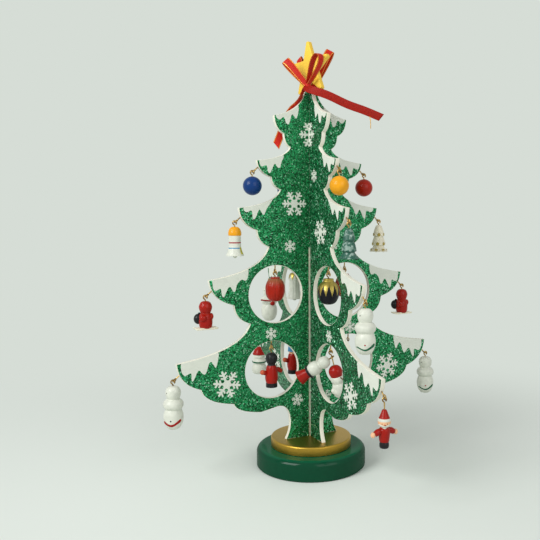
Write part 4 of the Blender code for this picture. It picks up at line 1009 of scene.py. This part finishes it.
class TREE_OT_make_star(Operator):
    """Make the yellow star and the pin that it stands on"""

    bl_idname = "tree.make_star"
    bl_label = "Make Star"

    def execute(self, context):
        settings = context.scene.tree_top
        paint = fleck_paint("yellow_satin_paint_with_gold_dust", settings.star_colour, "#FFE9A0", 0.55, 0.25,
                            0.12, 0.42)
        half_tip = math.asin(STAR_TIP_WIDTH / 2 / STAR_RADIUS)
        middle = math.pi / 2 + 2 * np.pi / 5 * np.arange(5)
        angles = np.stack((middle - half_tip, middle, middle + half_tip, middle + np.pi / 5), axis=1).ravel()
        radii = np.tile((STAR_RADIUS * 0.993, STAR_RADIUS, STAR_RADIUS * 0.993, STAR_RADIUS * STAR_INNER), 5)
        outline = np.column_stack((radii * np.cos(angles), radii * np.sin(angles)))
        mesh = flat_mesh("painted_star", [outline], STAR_THICKNESS / 2, 0.45)
        lean = Matrix.Rotation(STAR_LEAN, 4, "Z")
        upright = Matrix.Rotation(math.pi / 2, 4, "X")
        turn = Matrix.Rotation(STAR_TURN - math.pi / 2, 4, "Z")
        mesh.transform(Matrix.Translation((0, 0, STAR_CENTRE * MM)) @ turn @ upright @ lean)
        settle("painted_star", mesh, [paint], nodes=["star"], sharp=30)
        low, high = (value[2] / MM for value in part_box("star_pin"))
        path = np.column_stack((np.zeros(8), np.zeros(8), np.linspace(low, high, 8)))
        make_piece("star_pin_wire", Shape().bar(path, PIN_RADIUS), [brass()],
                   nodes=["star_pin"], sharp=50)
        return {"FINISHED"}


class TREE_OT_tie_ribbon(Operator):
    """Tie the red satin ribbon with its loops, knots and tails"""

    bl_idname = "tree.tie_ribbon"
    bl_label = "Tie Ribbon"

    def execute(self, context):
        settings = context.scene.tree_top
        satin = satin_finish("red_woven_satin", settings.ribbon, settings.ribbon_shade, 0.5)
        dull_shaded_satin = satin_finish("red_satin_reverse", settings.reverse, settings.shaded_reverse_streaks, 0.5)
        thread = fleck_paint("gold_edge_thread", settings.thread, "#FFE3A0", 0.3, 0.3, 0.6, 0.35)
        half = settings.ribbon_width / MM / 2
        front = toward(KNOT_OFFSET, KNOT_SIDE, KNOT_HEIGHT)
        back = toward(-KNOT_OFFSET, -KNOT_SIDE, KNOT_HEIGHT)
        view, aside = toward(1, 1, 0) / math.sqrt(2), toward(-1, 1, 0) / math.sqrt(2)
        apex = np.array((0, 0, PANEL_TOP))
        ribbon = Shape()
        for knot, (off, along, above), way, bulge, skew in LOOPS:
            loop_strip(ribbon, front if knot == "front" else back, toward(off, along, PANEL_TOP + above),
                       view if way == (1, 1) else toward(*way, 0), bulge, half, skew)
        right = smooth_run(np.vstack((front, apex + np.array(RIGHT_TAIL))), 12)
        turn = np.clip(np.linspace(0, 3.0, len(right)), 0, 1)[:, None]
        face = view * (0.35 + 0.65 * turn) + np.array((0, 0, 0.75)) * (1 - turn)
        # The right tail shows the dull reverse, its deeper red partly painted shade
        tail_strip(ribbon, right, face, half, 0.25, -0.9, reverse=True)
        left = smooth_run(np.vstack((front, apex + np.array(LEFT_TAIL))), 8)
        turn = np.clip(np.linspace(-0.8, 1.6, len(left)), 0, 1)[:, None]
        tail_strip(ribbon, left, view * (0.35 + 0.65 * turn) + aside * 0.9 * (1 - turn), half, 0.8, -1.7)
        edge = right[-9] - (0, 0, half * 0.95)
        hanging = smooth_run((edge, edge + (0.5, -0.2, -3.8), edge + (0.8, 0.1, -8.2)), 8)
        ribbon.bar(hanging, THREAD_RADIUS, 1, 8)
        make_piece("satin_ribbon", ribbon, [satin, thread, dull_shaded_satin], nodes=["ribbon_bow"],
                   sharp=60, solid=settings.ribbon_thickness / MM, outward=False)
        knots = Shape()
        for centre in (front, back):
            wrapped_knot(knots, centre, front - back, KNOT_RADIUS)
        knots.bar(np.linspace(back, front, 12), STRAP_RADIUS, side=(0, 0, 1))
        make_piece("satin_knots", knots, [satin], sharp=60)
        return {"FINISHED"}


class Turned(Shape):
    """A body turned about Z from a smooth run of (radius, depth below the top) points, with paint laid on it.

    limits are depths from the top down, each with the index of the finish that begins below it.
    """

    def __init__(self, points, limits=(), top=TOP, steps=None, ribs=0, rib_depth=0.0):
        super().__init__()
        steps = steps or bpy.context.scene.tree_ornaments.turning_steps
        run = smooth_run(points, 7)
        run[:, 0] = np.maximum(run[:, 0], 0)
        run[0, 0] = run[-1, 0] = 0
        self.top, self.profile = top, np.column_stack((run[:, 0], top - run[:, 1]))
        heights = [(top - depth, index) for depth, index in limits]
        places, extra = [np.arange(len(self.profile))], [self.profile]
        for height, _ in heights:
            above = self.profile[:, 1] > height
            index = np.nonzero(above[:-1] != above[1:])[0]
            start, end = self.profile[index], self.profile[index + 1]
            share = (height - start[:, 1]) / (end[:, 1] - start[:, 1])
            places.append(index + np.clip(share, 1e-6, 1 - 1e-6))
            extra.append(start + (end - start) * share[:, None])
        cut = np.vstack(extra)[np.argsort(np.concatenate(places), kind="stable")]
        middle = (cut[:-1, 1] + cut[1:, 1]) / 2
        finish = np.zeros(len(middle), int)
        for height, index in heights:
            finish[middle < height] = index
        self.grid(lathe(cut, steps, ribs, rib_depth), np.repeat(finish, steps))

    def radius_at(self, height):
        """The body's radius at one height or at an array of them, read between its profile's points."""
        order = np.argsort(self.profile[:, 1])
        return np.interp(height, self.profile[order, 1], self.profile[order, 0])

    def dot(self, depth, angle, radius, finish, flat=0.35):
        """A dot of paint: a flattened ball, its flat side against the body."""
        start, height = len(self.points), self.top - depth
        self.ball((0, 0, 0), (radius * flat, radius, radius), finish, 8, 14)
        out = Matrix.Translation((self.radius_at(height) - 0.05, 0, height))
        self.moved(Matrix.Rotation(math.radians(angle), 4, "Z") @ out, start)

    def band(self, depth, thickness, finish, start, end, rise=0.0, droop=0.0, lift=0.1, rows=5, thin=0.0,
             taper=0.0):
        """A painted band from one angle to another, with round ends.

        Its middle line lies at height + rise (2t - 1) - droop sin(pi t)^2 for t from 0 to 1 along it, and
        its width is thickness (1 - thin sin(pi t) - taper (1 - t)^2) sqrt(1 - (2t - 1)^10). It stands off
        the body by up to lift.
        """
        share = np.linspace(0, 1, 61)
        angle = np.radians(start + (end - start) * share)
        width = thickness * (1 - thin * np.sin(np.pi * share) - taper * (1 - share) ** 2)
        width = width * np.sqrt(1 - (2 * share - 1) ** 10)
        middle = self.top - depth + rise * (2 * share - 1) - droop * np.sin(np.pi * share) ** 2
        across = np.linspace(-0.5, 0.5, rows)[:, None]
        level = middle + across * width
        out = self.radius_at(level) + lift * (1 - (2 * across) ** 4)
        level, out = np.vstack((level, level[::-1])), np.vstack((out, out[::-1] * 0.9))
        ring = np.stack((out * np.cos(angle), out * np.sin(angle), level), axis=-1)
        self.grid(np.transpose(ring, (1, 0, 2)), finish)

    def crown(self, shallow, deep, count, finish, lift=0.09):
        """A painted crown of long points, which stands off the body by lift.

        At the angle a and for r from 0 to 1 it lies at top - 0.02 - r (shallow + (deep - shallow) w), where w
        is the zigzag |2 frac(count a / 2 pi) - 1|.
        """
        angle = np.linspace(0, 2 * np.pi, count * 16, endpoint=False)
        wave = np.abs(((angle / (2 * np.pi) * count) % 1) * 2 - 1)
        rows = np.linspace(0, 1, 14)[:, None]
        level = self.top - 0.02 - rows * (shallow + (deep - shallow) * wave)[None]
        out = self.radius_at(level) + lift
        level = level + lift * (rows < 0.01)
        self.grid(np.stack((out * np.cos(angle), out * np.sin(angle), level), axis=-1), finish)


def hang(name, body, shape, colours, nodes, place=None, low=0.0):
    """Hangs a painted ornament and its brass eye at its body's pivot. colours are enamels, or finishes.

    place is used instead of the pivot's own, and low is how much longer than usual the eye's shank is.
    """
    finishes = [enamel(colour) if isinstance(colour, str) else colour for colour in colours]
    if place is None:
        place = Matrix.Translation(pivot(body))
    make_piece(name, shape, finishes, place, body, nodes)
    eye = screw_eye(WIRE + HANGER_NECK + low + HANGER_SHANK)
    eye.moved(Matrix.Translation((0, 0, -LINK_DROP)) @ Matrix.Rotation(math.pi, 4, "Y"))
    make_piece(f"{name}_eye", eye, [brass()], place, body, sharp=50)


class TREE_OT_hang_balls(Operator):
    """Hang the four plain balls"""

    bl_idname = "tree.hang_balls"
    bl_label = "Hang Balls"

    def execute(self, context):
        profile = arc((0, TOP - BALL_RADIUS), BALL_RADIUS, 90, -90, 40)
        for wing, colour in (("west", "blue"), ("south", "yellow"), ("east", "dark_red"), ("north", "blue")):
            shape = Shape().grid(lathe(profile, context.scene.tree_ornaments.turning_steps))
            hang(f"painted_ball_{wing}", f"{wing}_tier2_ornament", shape, [colour], [f"ball_{wing}_tier2"])
        return {"FINISHED"}


def bell_shape(steps=None, ribs=0):
    """A turned bell with its clapper: a domed cap, a straight body with two rings, and a flared lip."""
    limits = ((6.2, 1), (10.5, 2), (11.4, 1), (14.3, 3), (15.0, 1), (19.7, 4))
    return Turned(BELL, limits, TOP, steps, ribs, 0.04).ball((0, 0, TOP - 20.0), (1.6, 1.6, 1.6), 4, 12, 20)


class TREE_OT_hang_bells(Operator):
    """Hang the turned bells"""

    bl_idname = "tree.hang_bells"
    bl_label = "Hang Bells"

    def execute(self, context):
        for wing in ("west", "north"):
            shape = bell_shape()
            shape.band(16.9, 6.0, 5, FRONT + 56, FRONT + 138, lift=0.08, rows=13)
            hang(f"painted_bell_{wing}_tier3", f"{wing}_tier3_ornament", shape,
                 ["yellow", "white", "dull_red", "sky", "white", "olive"], [f"bell_{wing}_tier3"])
        shape = bell_shape(context.scene.tree_ornaments.turning_steps * 2, 12)
        shape.crown(1.4, 5.6, 8, 5)
        hang("painted_bell_north_upper_hole", "north_upper_hole_ornament", shape,
             ["white"] * 5 + [gold_leafed()], ["bell_north_upper_hole"])
        return {"FINISHED"}


class TREE_OT_hang_firs(Operator):
    """Hang the small turned fir trees"""

    bl_idname = "tree.hang_firs"
    bl_label = "Hang Firs"

    def execute(self, context):
        settings = context.scene.tree_ornaments
        snowy = fleck_paint("teal_enamel_with_pale_glitter", settings.teal, "#BCD2C6", 1.5, 0.46, 0.0, 0.45)
        for wing, coat in (("south", snowy), ("east", "cream")):
            shape = Turned(FIR)
            if wing == "east":
                for depth, count in ((7.2, 5), (14.2, 6), (19.0, 7)):
                    for angle in FRONT - 72 + np.arange(count) * 360 / count:
                        shape.dot(depth, angle, 1.3, 1, 0.22)
            hang(f"painted_fir_{wing}", f"{wing}_tier3_ornament", shape, [coat, "gold"],
                 [f"fir_{wing}_tier3"])
        return {"FINISHED"}


class TREE_OT_hang_drops(Operator):
    """Hang the ribbed ovals and the navy drop with gold points"""

    bl_idname = "tree.hang_drops"
    bl_label = "Hang Drops"

    def execute(self, context):
        # The ovals' red passes to brown towards their top
        height = pivot("west_upper_hole_ornament").z + TOP * MM
        browner_top = gloss_paint("red_enamel_worn_brown_at_the_top", context.scene.tree_ornaments.dark_red,
                            upper=("#8E5A3C", height - 6.5 * MM, height - 0.5 * MM))
        for wing in ("west", "east"):
            shape = Turned(OVAL, ((1.0, 1),), TOP, 120, 10, 0.055)
            hang(f"painted_oval_{wing}", f"{wing}_upper_hole_ornament", shape, ["dark_red", browner_top],
                 [f"oval_{wing}_upper_hole"])
        shape = Turned(DROP, ((2.0, 1),))
        shape.crown(3.6, 11.8, 11, 0)
        hang("painted_drop_south", "south_upper_hole_ornament", shape, [gold_leafed(), "navy"],
             ["capped_south_upper_hole"])
        return {"FINISHED"}


class TREE_OT_hang_snowmen(Operator):
    """Hang the plain white snowmen"""

    bl_idname = "tree.hang_snowmen"
    bl_label = "Hang Snowmen"

    def execute(self, context):
        for place, band, button, taper in (
                ("west_tier5", "red", "black", 0.0), ("south_tier4", "green", "red", 0.62),
                ("east_tier5", "green", "red", 0.62), ("north_tier4", "red", "black", 0.0)):
            shape = Turned(SNOWMAN)
            for turn in (-44, -89):
                shape.dot(4.2, FRONT + turn, 0.42, 1)
            if place == "north_tier4":
                shape.ball((0, 0, TOP - 0.7), (2.9, 2.9, 1.0), 2, 10, 24)
                shape.bar(np.linspace((-9.0, -4.2, TOP - 11.3), (-1.5, -6.6, TOP - 12.3), 6), 0.55, 2)
                shape.ball((0.4, -6.2, TOP - 14.3), (2.1, 1.8, 1.9), 2, 12, 18)
            else:
                shape.dot(22.4, FRONT - 4, 0.55, 3)
                shape.band(23.3, 3.0, 2, FRONT - 64, FRONT + 62, rise=0.75, droop=2.4, lift=0.2, rows=7,
                           thin=0.42, taper=taper)
            hang(f"painted_snowman_{place}", f"{place}_ornament", shape, ["white", "black", band, button],
                 [f"snowman_{place}"])
        return {"FINISHED"}


def hatted_shape():
    """A snowman in a red cap: a domed hat with a rolled brim, a round head, a scarf and two body balls."""
    shape = Turned(HATTED_SNOWMAN, ((6.5, 1),))
    shape.band(12.3, 1.3, 4, FRONT - 150, FRONT + 150, droop=0.6)
    return shape


def bobble_shape(top):
    """A snowman under a big round red cap, with a round head, a plump body, an arm and a broom."""
    shape = Turned(BOBBLE_SNOWMAN, ((7.9, 1),), top)
    shape.limb((-1.6, -2.6, top - 20.6), (-5.3, -0.6, top - 17.0), 2.0, 1, 1.8, 1)
    return shape.bar(np.linspace((0.4, -4.8, top - 8.2), (3.3, -4.6, top - 12.6), 6), 0.4, 2)


def caught_shape():
    """A small snowman with a black brim and a red cap at its lower end, and a painted shade dot on its side.
    """
    shape = Turned(CAUGHT_SNOWMAN, ((16.0, 1), (17.7, 2)))
    # Painted shade: the dot stands for the shade in a small hollow of the ball
    shape.dot(11.4, 84, 1.0, 3, 0.2)
    return shape


class TREE_OT_hang_hatted_snowmen(Operator):
    """Hang the snowmen with red hats, the low one leaning under the ornament caught on it"""

    bl_idname = "tree.hang_hatted_snowmen"
    bl_label = "Hang Hatted Snowmen"

    def execute(self, context):
        hang("painted_hatted_snowman_north", "north_tier5_ornament", hatted_shape(),
             ["red", "white", "white", "black", "green"], ["hatted_north_tier5"])
        body, low, pull = "south_lower_hole_ornament", 7.2, math.radians(15.3)
        spot = Matrix.Translation(pivot(body)) @ Matrix.Rotation(-pull, 4, "Y")
        hang("painted_hatted_snowman_south", body, bobble_shape(TOP - low), ["red", "white", "brown"],
             ["hatted_low_south_lower_hole"], spot, low)
        fall, heading = math.radians(34), math.radians(141)
        level = math.cos(fall)
        down = Vector((level * math.cos(heading), level * math.sin(heading), -math.sin(fall)))
        neck = spot.to_3x3() @ Vector((0, 0, 1))
        normal = (neck - down * neck.dot(down)).normalized()
        origin = spot @ Vector((0, 0, -3.9 * MM)) - down * LINK_DROP * MM
        place = matrix_from((normal.cross(-down), normal, -down), origin)
        hang("painted_caught_snowman", body, caught_shape(), ["white", "black", "red", "grey"],
             ["caught_ornament"], place)
        return {"FINISHED"}


def curly_ball(centre, radius, rings=64, sides=96):
    """A head of curls: a ball of radius R (0.86 + 0.18 |sin 7t|^0.6 |cos(5p + k pi / 2)|^0.6 sin t).

    k is the row of curls, and t and p are the ellipsoid's.
    """
    t = np.linspace(0, np.pi, rings)[:, None]
    p = np.linspace(0, 2 * np.pi, sides, endpoint=False)[None]
    row = np.floor(7 * t / np.pi)
    curl = np.abs(np.sin(7 * t)) ** 0.6 * np.abs(np.cos(5 * p + row * np.pi / 2)) ** 0.6
    unit = ellipsoid((0, 0, 0), (1, 1, 1), rings, sides)
    return unit * (radius * (0.86 + 0.18 * curl * np.sin(t)))[..., None] + np.asarray(centre, float)


class TREE_OT_hang_guards(Operator):
    """Hang the toy guards, one in a light blue cap and one with a head of curls"""

    bl_idname = "tree.hang_guards"
    bl_label = "Hang Guards"

    def execute(self, context):
        for wing, hat, head in (("west", "black", CURLY_HEAD), ("north", "sky", CAPPED_HEAD)):
            shape = Turned(head + GUARD_BODY, ((7.6, 1), (9.3, 2), (21.8, 3)))
            if wing == "north":
                for side in (-1, 1):
                    shape.dot(8.3, FRONT + side * 22, 0.3, 3)
            else:
                shape.grid(curly_ball((0, 0, TOP - 4.3), 4.35))
            # The left hand's orange red is a painted highlight on the red arm
            shape.limb((-3.4, 0, TOP - 15.4), (-6.9, 0, TOP - 13.9), 1.45, 2, 1.8, 5)
            shape.limb((3.2, 0, TOP - 12.2), (7.0, 0, TOP - 13.9), 1.5, 4, 1.6, 4)
            face = "skin" if wing == "north" else hat
            hang(f"painted_guard_{wing}_lower_hole", f"{wing}_lower_hole_ornament", shape,
                 [hat, face, "red", "black", "dark_red", "brick"], [f"guard_{wing}_lower_hole"])
        return {"FINISHED"}


class TREE_OT_hang_santa(Operator):
    """Hang the figure in a red suit"""

    bl_idname = "tree.hang_santa"
    bl_label = "Hang Red Suit Figure"

    def execute(self, context):
        top = TOP - SUIT_DROP
        shape = Turned(SUITED_FIGURE, ((5.3, 1), (6.9, 2), (10.8, 0), (20.1, 3)), top)
        for side in (-1, 1):
            shape.dot(8.0, FRONT + side * 24, 0.34, 3)
            shape.limb((side * 2.6, 0, top - 13.0), (side * 6.6, 0, top - 14.6), 1.7, 0, 1.3, 0)
            shape.ball((side * 8.0, 0, top - 14.9), (1.5, 1.6, 1.75), 5, 14, 18)
        shape.dot(8.7, FRONT, 0.42, 4, 1.0)
        shape.band(9.5, 2.2, 1, FRONT - 70, FRONT + 70, droop=0.8, lift=0.35)
        shape.dot(9.0, FRONT + 6, 0.4, 3, 0.9)
        hang("painted_red_suit_figure", "south_tier5_ornament", shape,
             ["red", "white", "skin", "black", "brick", "skin"], ["santa_south_tier5"],
             low=SUIT_DROP)
        return {"FINISHED"}


def ski(foot, side):
    """A ski along X whose tip turns up: at x below 0 it rises by 1.1 clip((|x| - 6.4) / 2.1, 0, 1)^2.

    Its section is a rounded bar, 1.3 |cos a|^0.35 by 0.7 |sin a|^0.35, and closes at both ends by
    sqrt(1 - (2x / length)^8).
    """
    along = np.linspace(-SKI_LENGTH / 2, SKI_LENGTH / 2, 24)
    rise = 1.1 * np.clip((np.abs(along) - 6.4) / 2.1, 0, 1) ** 2
    spine = np.column_stack((along, np.full(24, side * SKI_APART), foot + rise * (along < 0)))
    ends = np.sqrt(np.clip(1 - (along / (SKI_LENGTH / 2)) ** 8, 0, 1))[:, None]
    angle = np.linspace(0, 2 * np.pi, 16, endpoint=False)
    across = np.sign(np.cos(angle)) * np.abs(np.cos(angle)) ** 0.35 * 1.3
    upward = np.sign(np.sin(angle)) * np.abs(np.sin(angle)) ** 0.35 * 0.7
    return spine[:, None] + np.stack((np.zeros((24, 16)), ends * across, ends * upward), axis=-1)


class TREE_OT_hang_skiers(Operator):
    """Hang the skiers with their sacks and skis"""

    bl_idname = "tree.hang_skiers"
    bl_label = "Hang Skiers"

    def execute(self, context):
        foot = TOP - SKIER_HEIGHT
        for wing in ("west", "east"):
            shape = Turned(SKIER, ((7.9, 1), (8.6, 0)))
            for side in (-1, 1):
                shape.grid(ski(foot, side), 3)
            for (x, y, z), radii, finish, rings, sides in SKIER_PARTS:
                shape.ball((x, y, foot + z), radii, finish, rings, sides)
            hang(f"painted_skier_{wing}", f"{wing}_tier4_ornament", shape,
                 ["red", "dark_red", "dark_red", "cream", "black"], [f"skier_{wing}_tier4"])
        return {"FINISHED"}


class TREE_OT_set_stage(Operator):
    """Set the pale floor, the soft lamps, the world and the camera"""

    bl_idname = "tree.set_stage"
    bl_label = "Set Stage"

    def execute(self, context):
        scene, settings = context.scene, context.scene.tree_stage
        scene.view_settings.view_transform = "Standard"
        pale = linear(settings.floor)
        # Matt paper that takes the tree's shadow and further out passes to the background's even tone
        finish = bpy.data.materials.new("pale_paper_sweep")
        finish.use_nodes = True
        tree = finish.node_tree
        tree.nodes.clear()
        paper = add_node(tree, "ShaderNodeBsdfDiffuse", None,
                         {"Color": (*(channel * PAPER_LIFT for channel in pale[:3]), 1)})
        even = add_node(tree, "ShaderNodeEmission", None, {"Color": pale, "Strength": 1.0})
        away = add_node(tree, "ShaderNodeVectorMath", {"operation": "LENGTH"}, None,
                        {0: add_node(tree, "ShaderNodeTexCoord").outputs["Object"]})
        share = add_node(tree, "ShaderNodeMapRange", {"interpolation_type": "SMOOTHSTEP"},
                         {"From Min": SHADOW_REACH[0], "From Max": SHADOW_REACH[1]},
                         {"Value": away.outputs["Value"]})
        mixed = add_node(tree, "ShaderNodeMixShader", None, None,
                         {0: share.outputs["Result"], 1: paper.outputs[0], 2: even.outputs[0]})
        add_node(tree, "ShaderNodeOutputMaterial", links={"Surface": mixed.outputs[0]})
        mesh = bpy.data.meshes.new("floor")
        corners = [(x * FLOOR_REACH, y * FLOOR_REACH, 0) for x, y in ((-1, -1), (1, -1), (1, 1), (-1, 1))]
        mesh.from_pydata(corners, [], [(0, 1, 2, 3)])
        mesh.materials.append(finish)
        floor = bpy.data.objects.new("floor", mesh)
        floor.location.z = -0.02 * MM
        scene.collection.objects.link(floor)

        # Even white light on the tree; the camera, glossy skins and clear ones see the pale background
        world = bpy.data.worlds.new("soft_room") if scene.world is None else scene.world
        scene.world = world
        world.use_nodes = True
        tree = world.node_tree
        tree.nodes.clear()
        rays = add_node(tree, "ShaderNodeLightPath").outputs
        light = add_node(tree, "ShaderNodeBackground", None,
                         {"Color": (1, 1, 1, 1), "Strength": settings.world_level})
        seen = add_node(tree, "ShaderNodeBackground", None, {"Color": pale, "Strength": 1.0})
        direct = rays["Is Camera Ray"]
        for ray in ("Is Transmission Ray", "Is Glossy Ray"):
            direct = add_node(tree, "ShaderNodeMath", {"operation": "MAXIMUM"}, None,
                              {0: direct, 1: rays[ray]}).outputs[0]
        both = add_node(tree, "ShaderNodeMixShader", None, None,
                        {0: direct, 1: light.outputs[0], 2: seen.outputs[0]})
        add_node(tree, "ShaderNodeOutputWorld", links={"Surface": both.outputs[0]})

        for name, (spot, size), power in (("key", KEY_LAMP, settings.key_power),
                                          ("fill", FILL_LAMP, settings.fill_power)):
            lamp = bpy.data.lights.new(name, "AREA")
            lamp.size = size
            lamp.energy = power
            self.aim(scene, lamp, spot, Vector(LAMP_TARGET) - Vector(spot))

        camera = bpy.data.cameras.new("camera")
        camera.sensor_width = 36
        camera.lens = settings.lens
        camera.shift_x = CAMERA_SHIFT
        camera.clip_start = 0.01
        scene.camera = self.aim(scene, camera, CAMERA_PLACE, Vector(CAMERA_AHEAD))
        return {"FINISHED"}

    @staticmethod
    def aim(scene, data, place, ahead):
        """Puts a lamp or the camera in its place, looking ahead."""
        holder = bpy.data.objects.new(data.name, data)
        holder.location = place
        holder.rotation_euler = ahead.to_track_quat("-Z", "Y").to_euler()
        scene.collection.objects.link(holder)
        return holder


STEPS = (TREE_OT_set_stage, TREE_OT_make_panels, TREE_OT_paint_snow, TREE_OT_turn_base,
         TREE_OT_fit_screw_eyes, TREE_OT_make_star, TREE_OT_tie_ribbon, TREE_OT_hang_balls,
         TREE_OT_hang_bells, TREE_OT_hang_firs, TREE_OT_hang_drops, TREE_OT_hang_snowmen,
         TREE_OT_hang_hatted_snowmen, TREE_OT_hang_guards, TREE_OT_hang_santa, TREE_OT_hang_skiers)


class TREE_PT_sidebar(Panel):
    """Sizes, colours and steps of the tabletop tree"""

    bl_idname = "TREE_PT_sidebar"
    bl_label = "Tabletop Tree"
    bl_space_type = "VIEW_3D"
    bl_region_type = "UI"
    bl_category = "Tree"

    def draw(self, context):
        layout = self.layout
        for group in (context.scene.tree_panels, context.scene.tree_top, context.scene.tree_ornaments,
                      context.scene.tree_stage):
            box = layout.box()
            for key in group.__annotations__:
                box.prop(group, key)
        for step in STEPS:
            layout.operator(step.bl_idname)


GROUPS = {"tree_panels": PanelSettings, "tree_top": TopSettings, "tree_ornaments": OrnamentSettings,
          "tree_stage": StageSettings}


def register():
    for group in GROUPS.values():
        bpy.utils.register_class(group)
    for name, group in GROUPS.items():
        setattr(bpy.types.Scene, name, PointerProperty(type=group))
    for step in STEPS + (TREE_PT_sidebar,):
        bpy.utils.register_class(step)


def unregister():
    for step in reversed(STEPS + (TREE_PT_sidebar,)):
        bpy.utils.unregister_class(step)
    for name in GROUPS:
        delattr(bpy.types.Scene, name)
    for group in reversed(GROUPS.values()):
        bpy.utils.unregister_class(group)


def main():
    register()
    bpy.ops.tree.set_stage()
    bpy.ops.tree.make_panels()
    bpy.ops.tree.paint_snow()
    bpy.ops.tree.turn_base()
    bpy.ops.tree.fit_screw_eyes()
    bpy.ops.tree.make_star()
    bpy.ops.tree.tie_ribbon()
    bpy.ops.tree.hang_balls()
    bpy.ops.tree.hang_bells()
    bpy.ops.tree.hang_firs()
    bpy.ops.tree.hang_drops()
    bpy.ops.tree.hang_snowmen()
    bpy.ops.tree.hang_hatted_snowmen()
    bpy.ops.tree.hang_guards()
    bpy.ops.tree.hang_santa()
    bpy.ops.tree.hang_skiers()


if __name__ == "__main__":
    main()
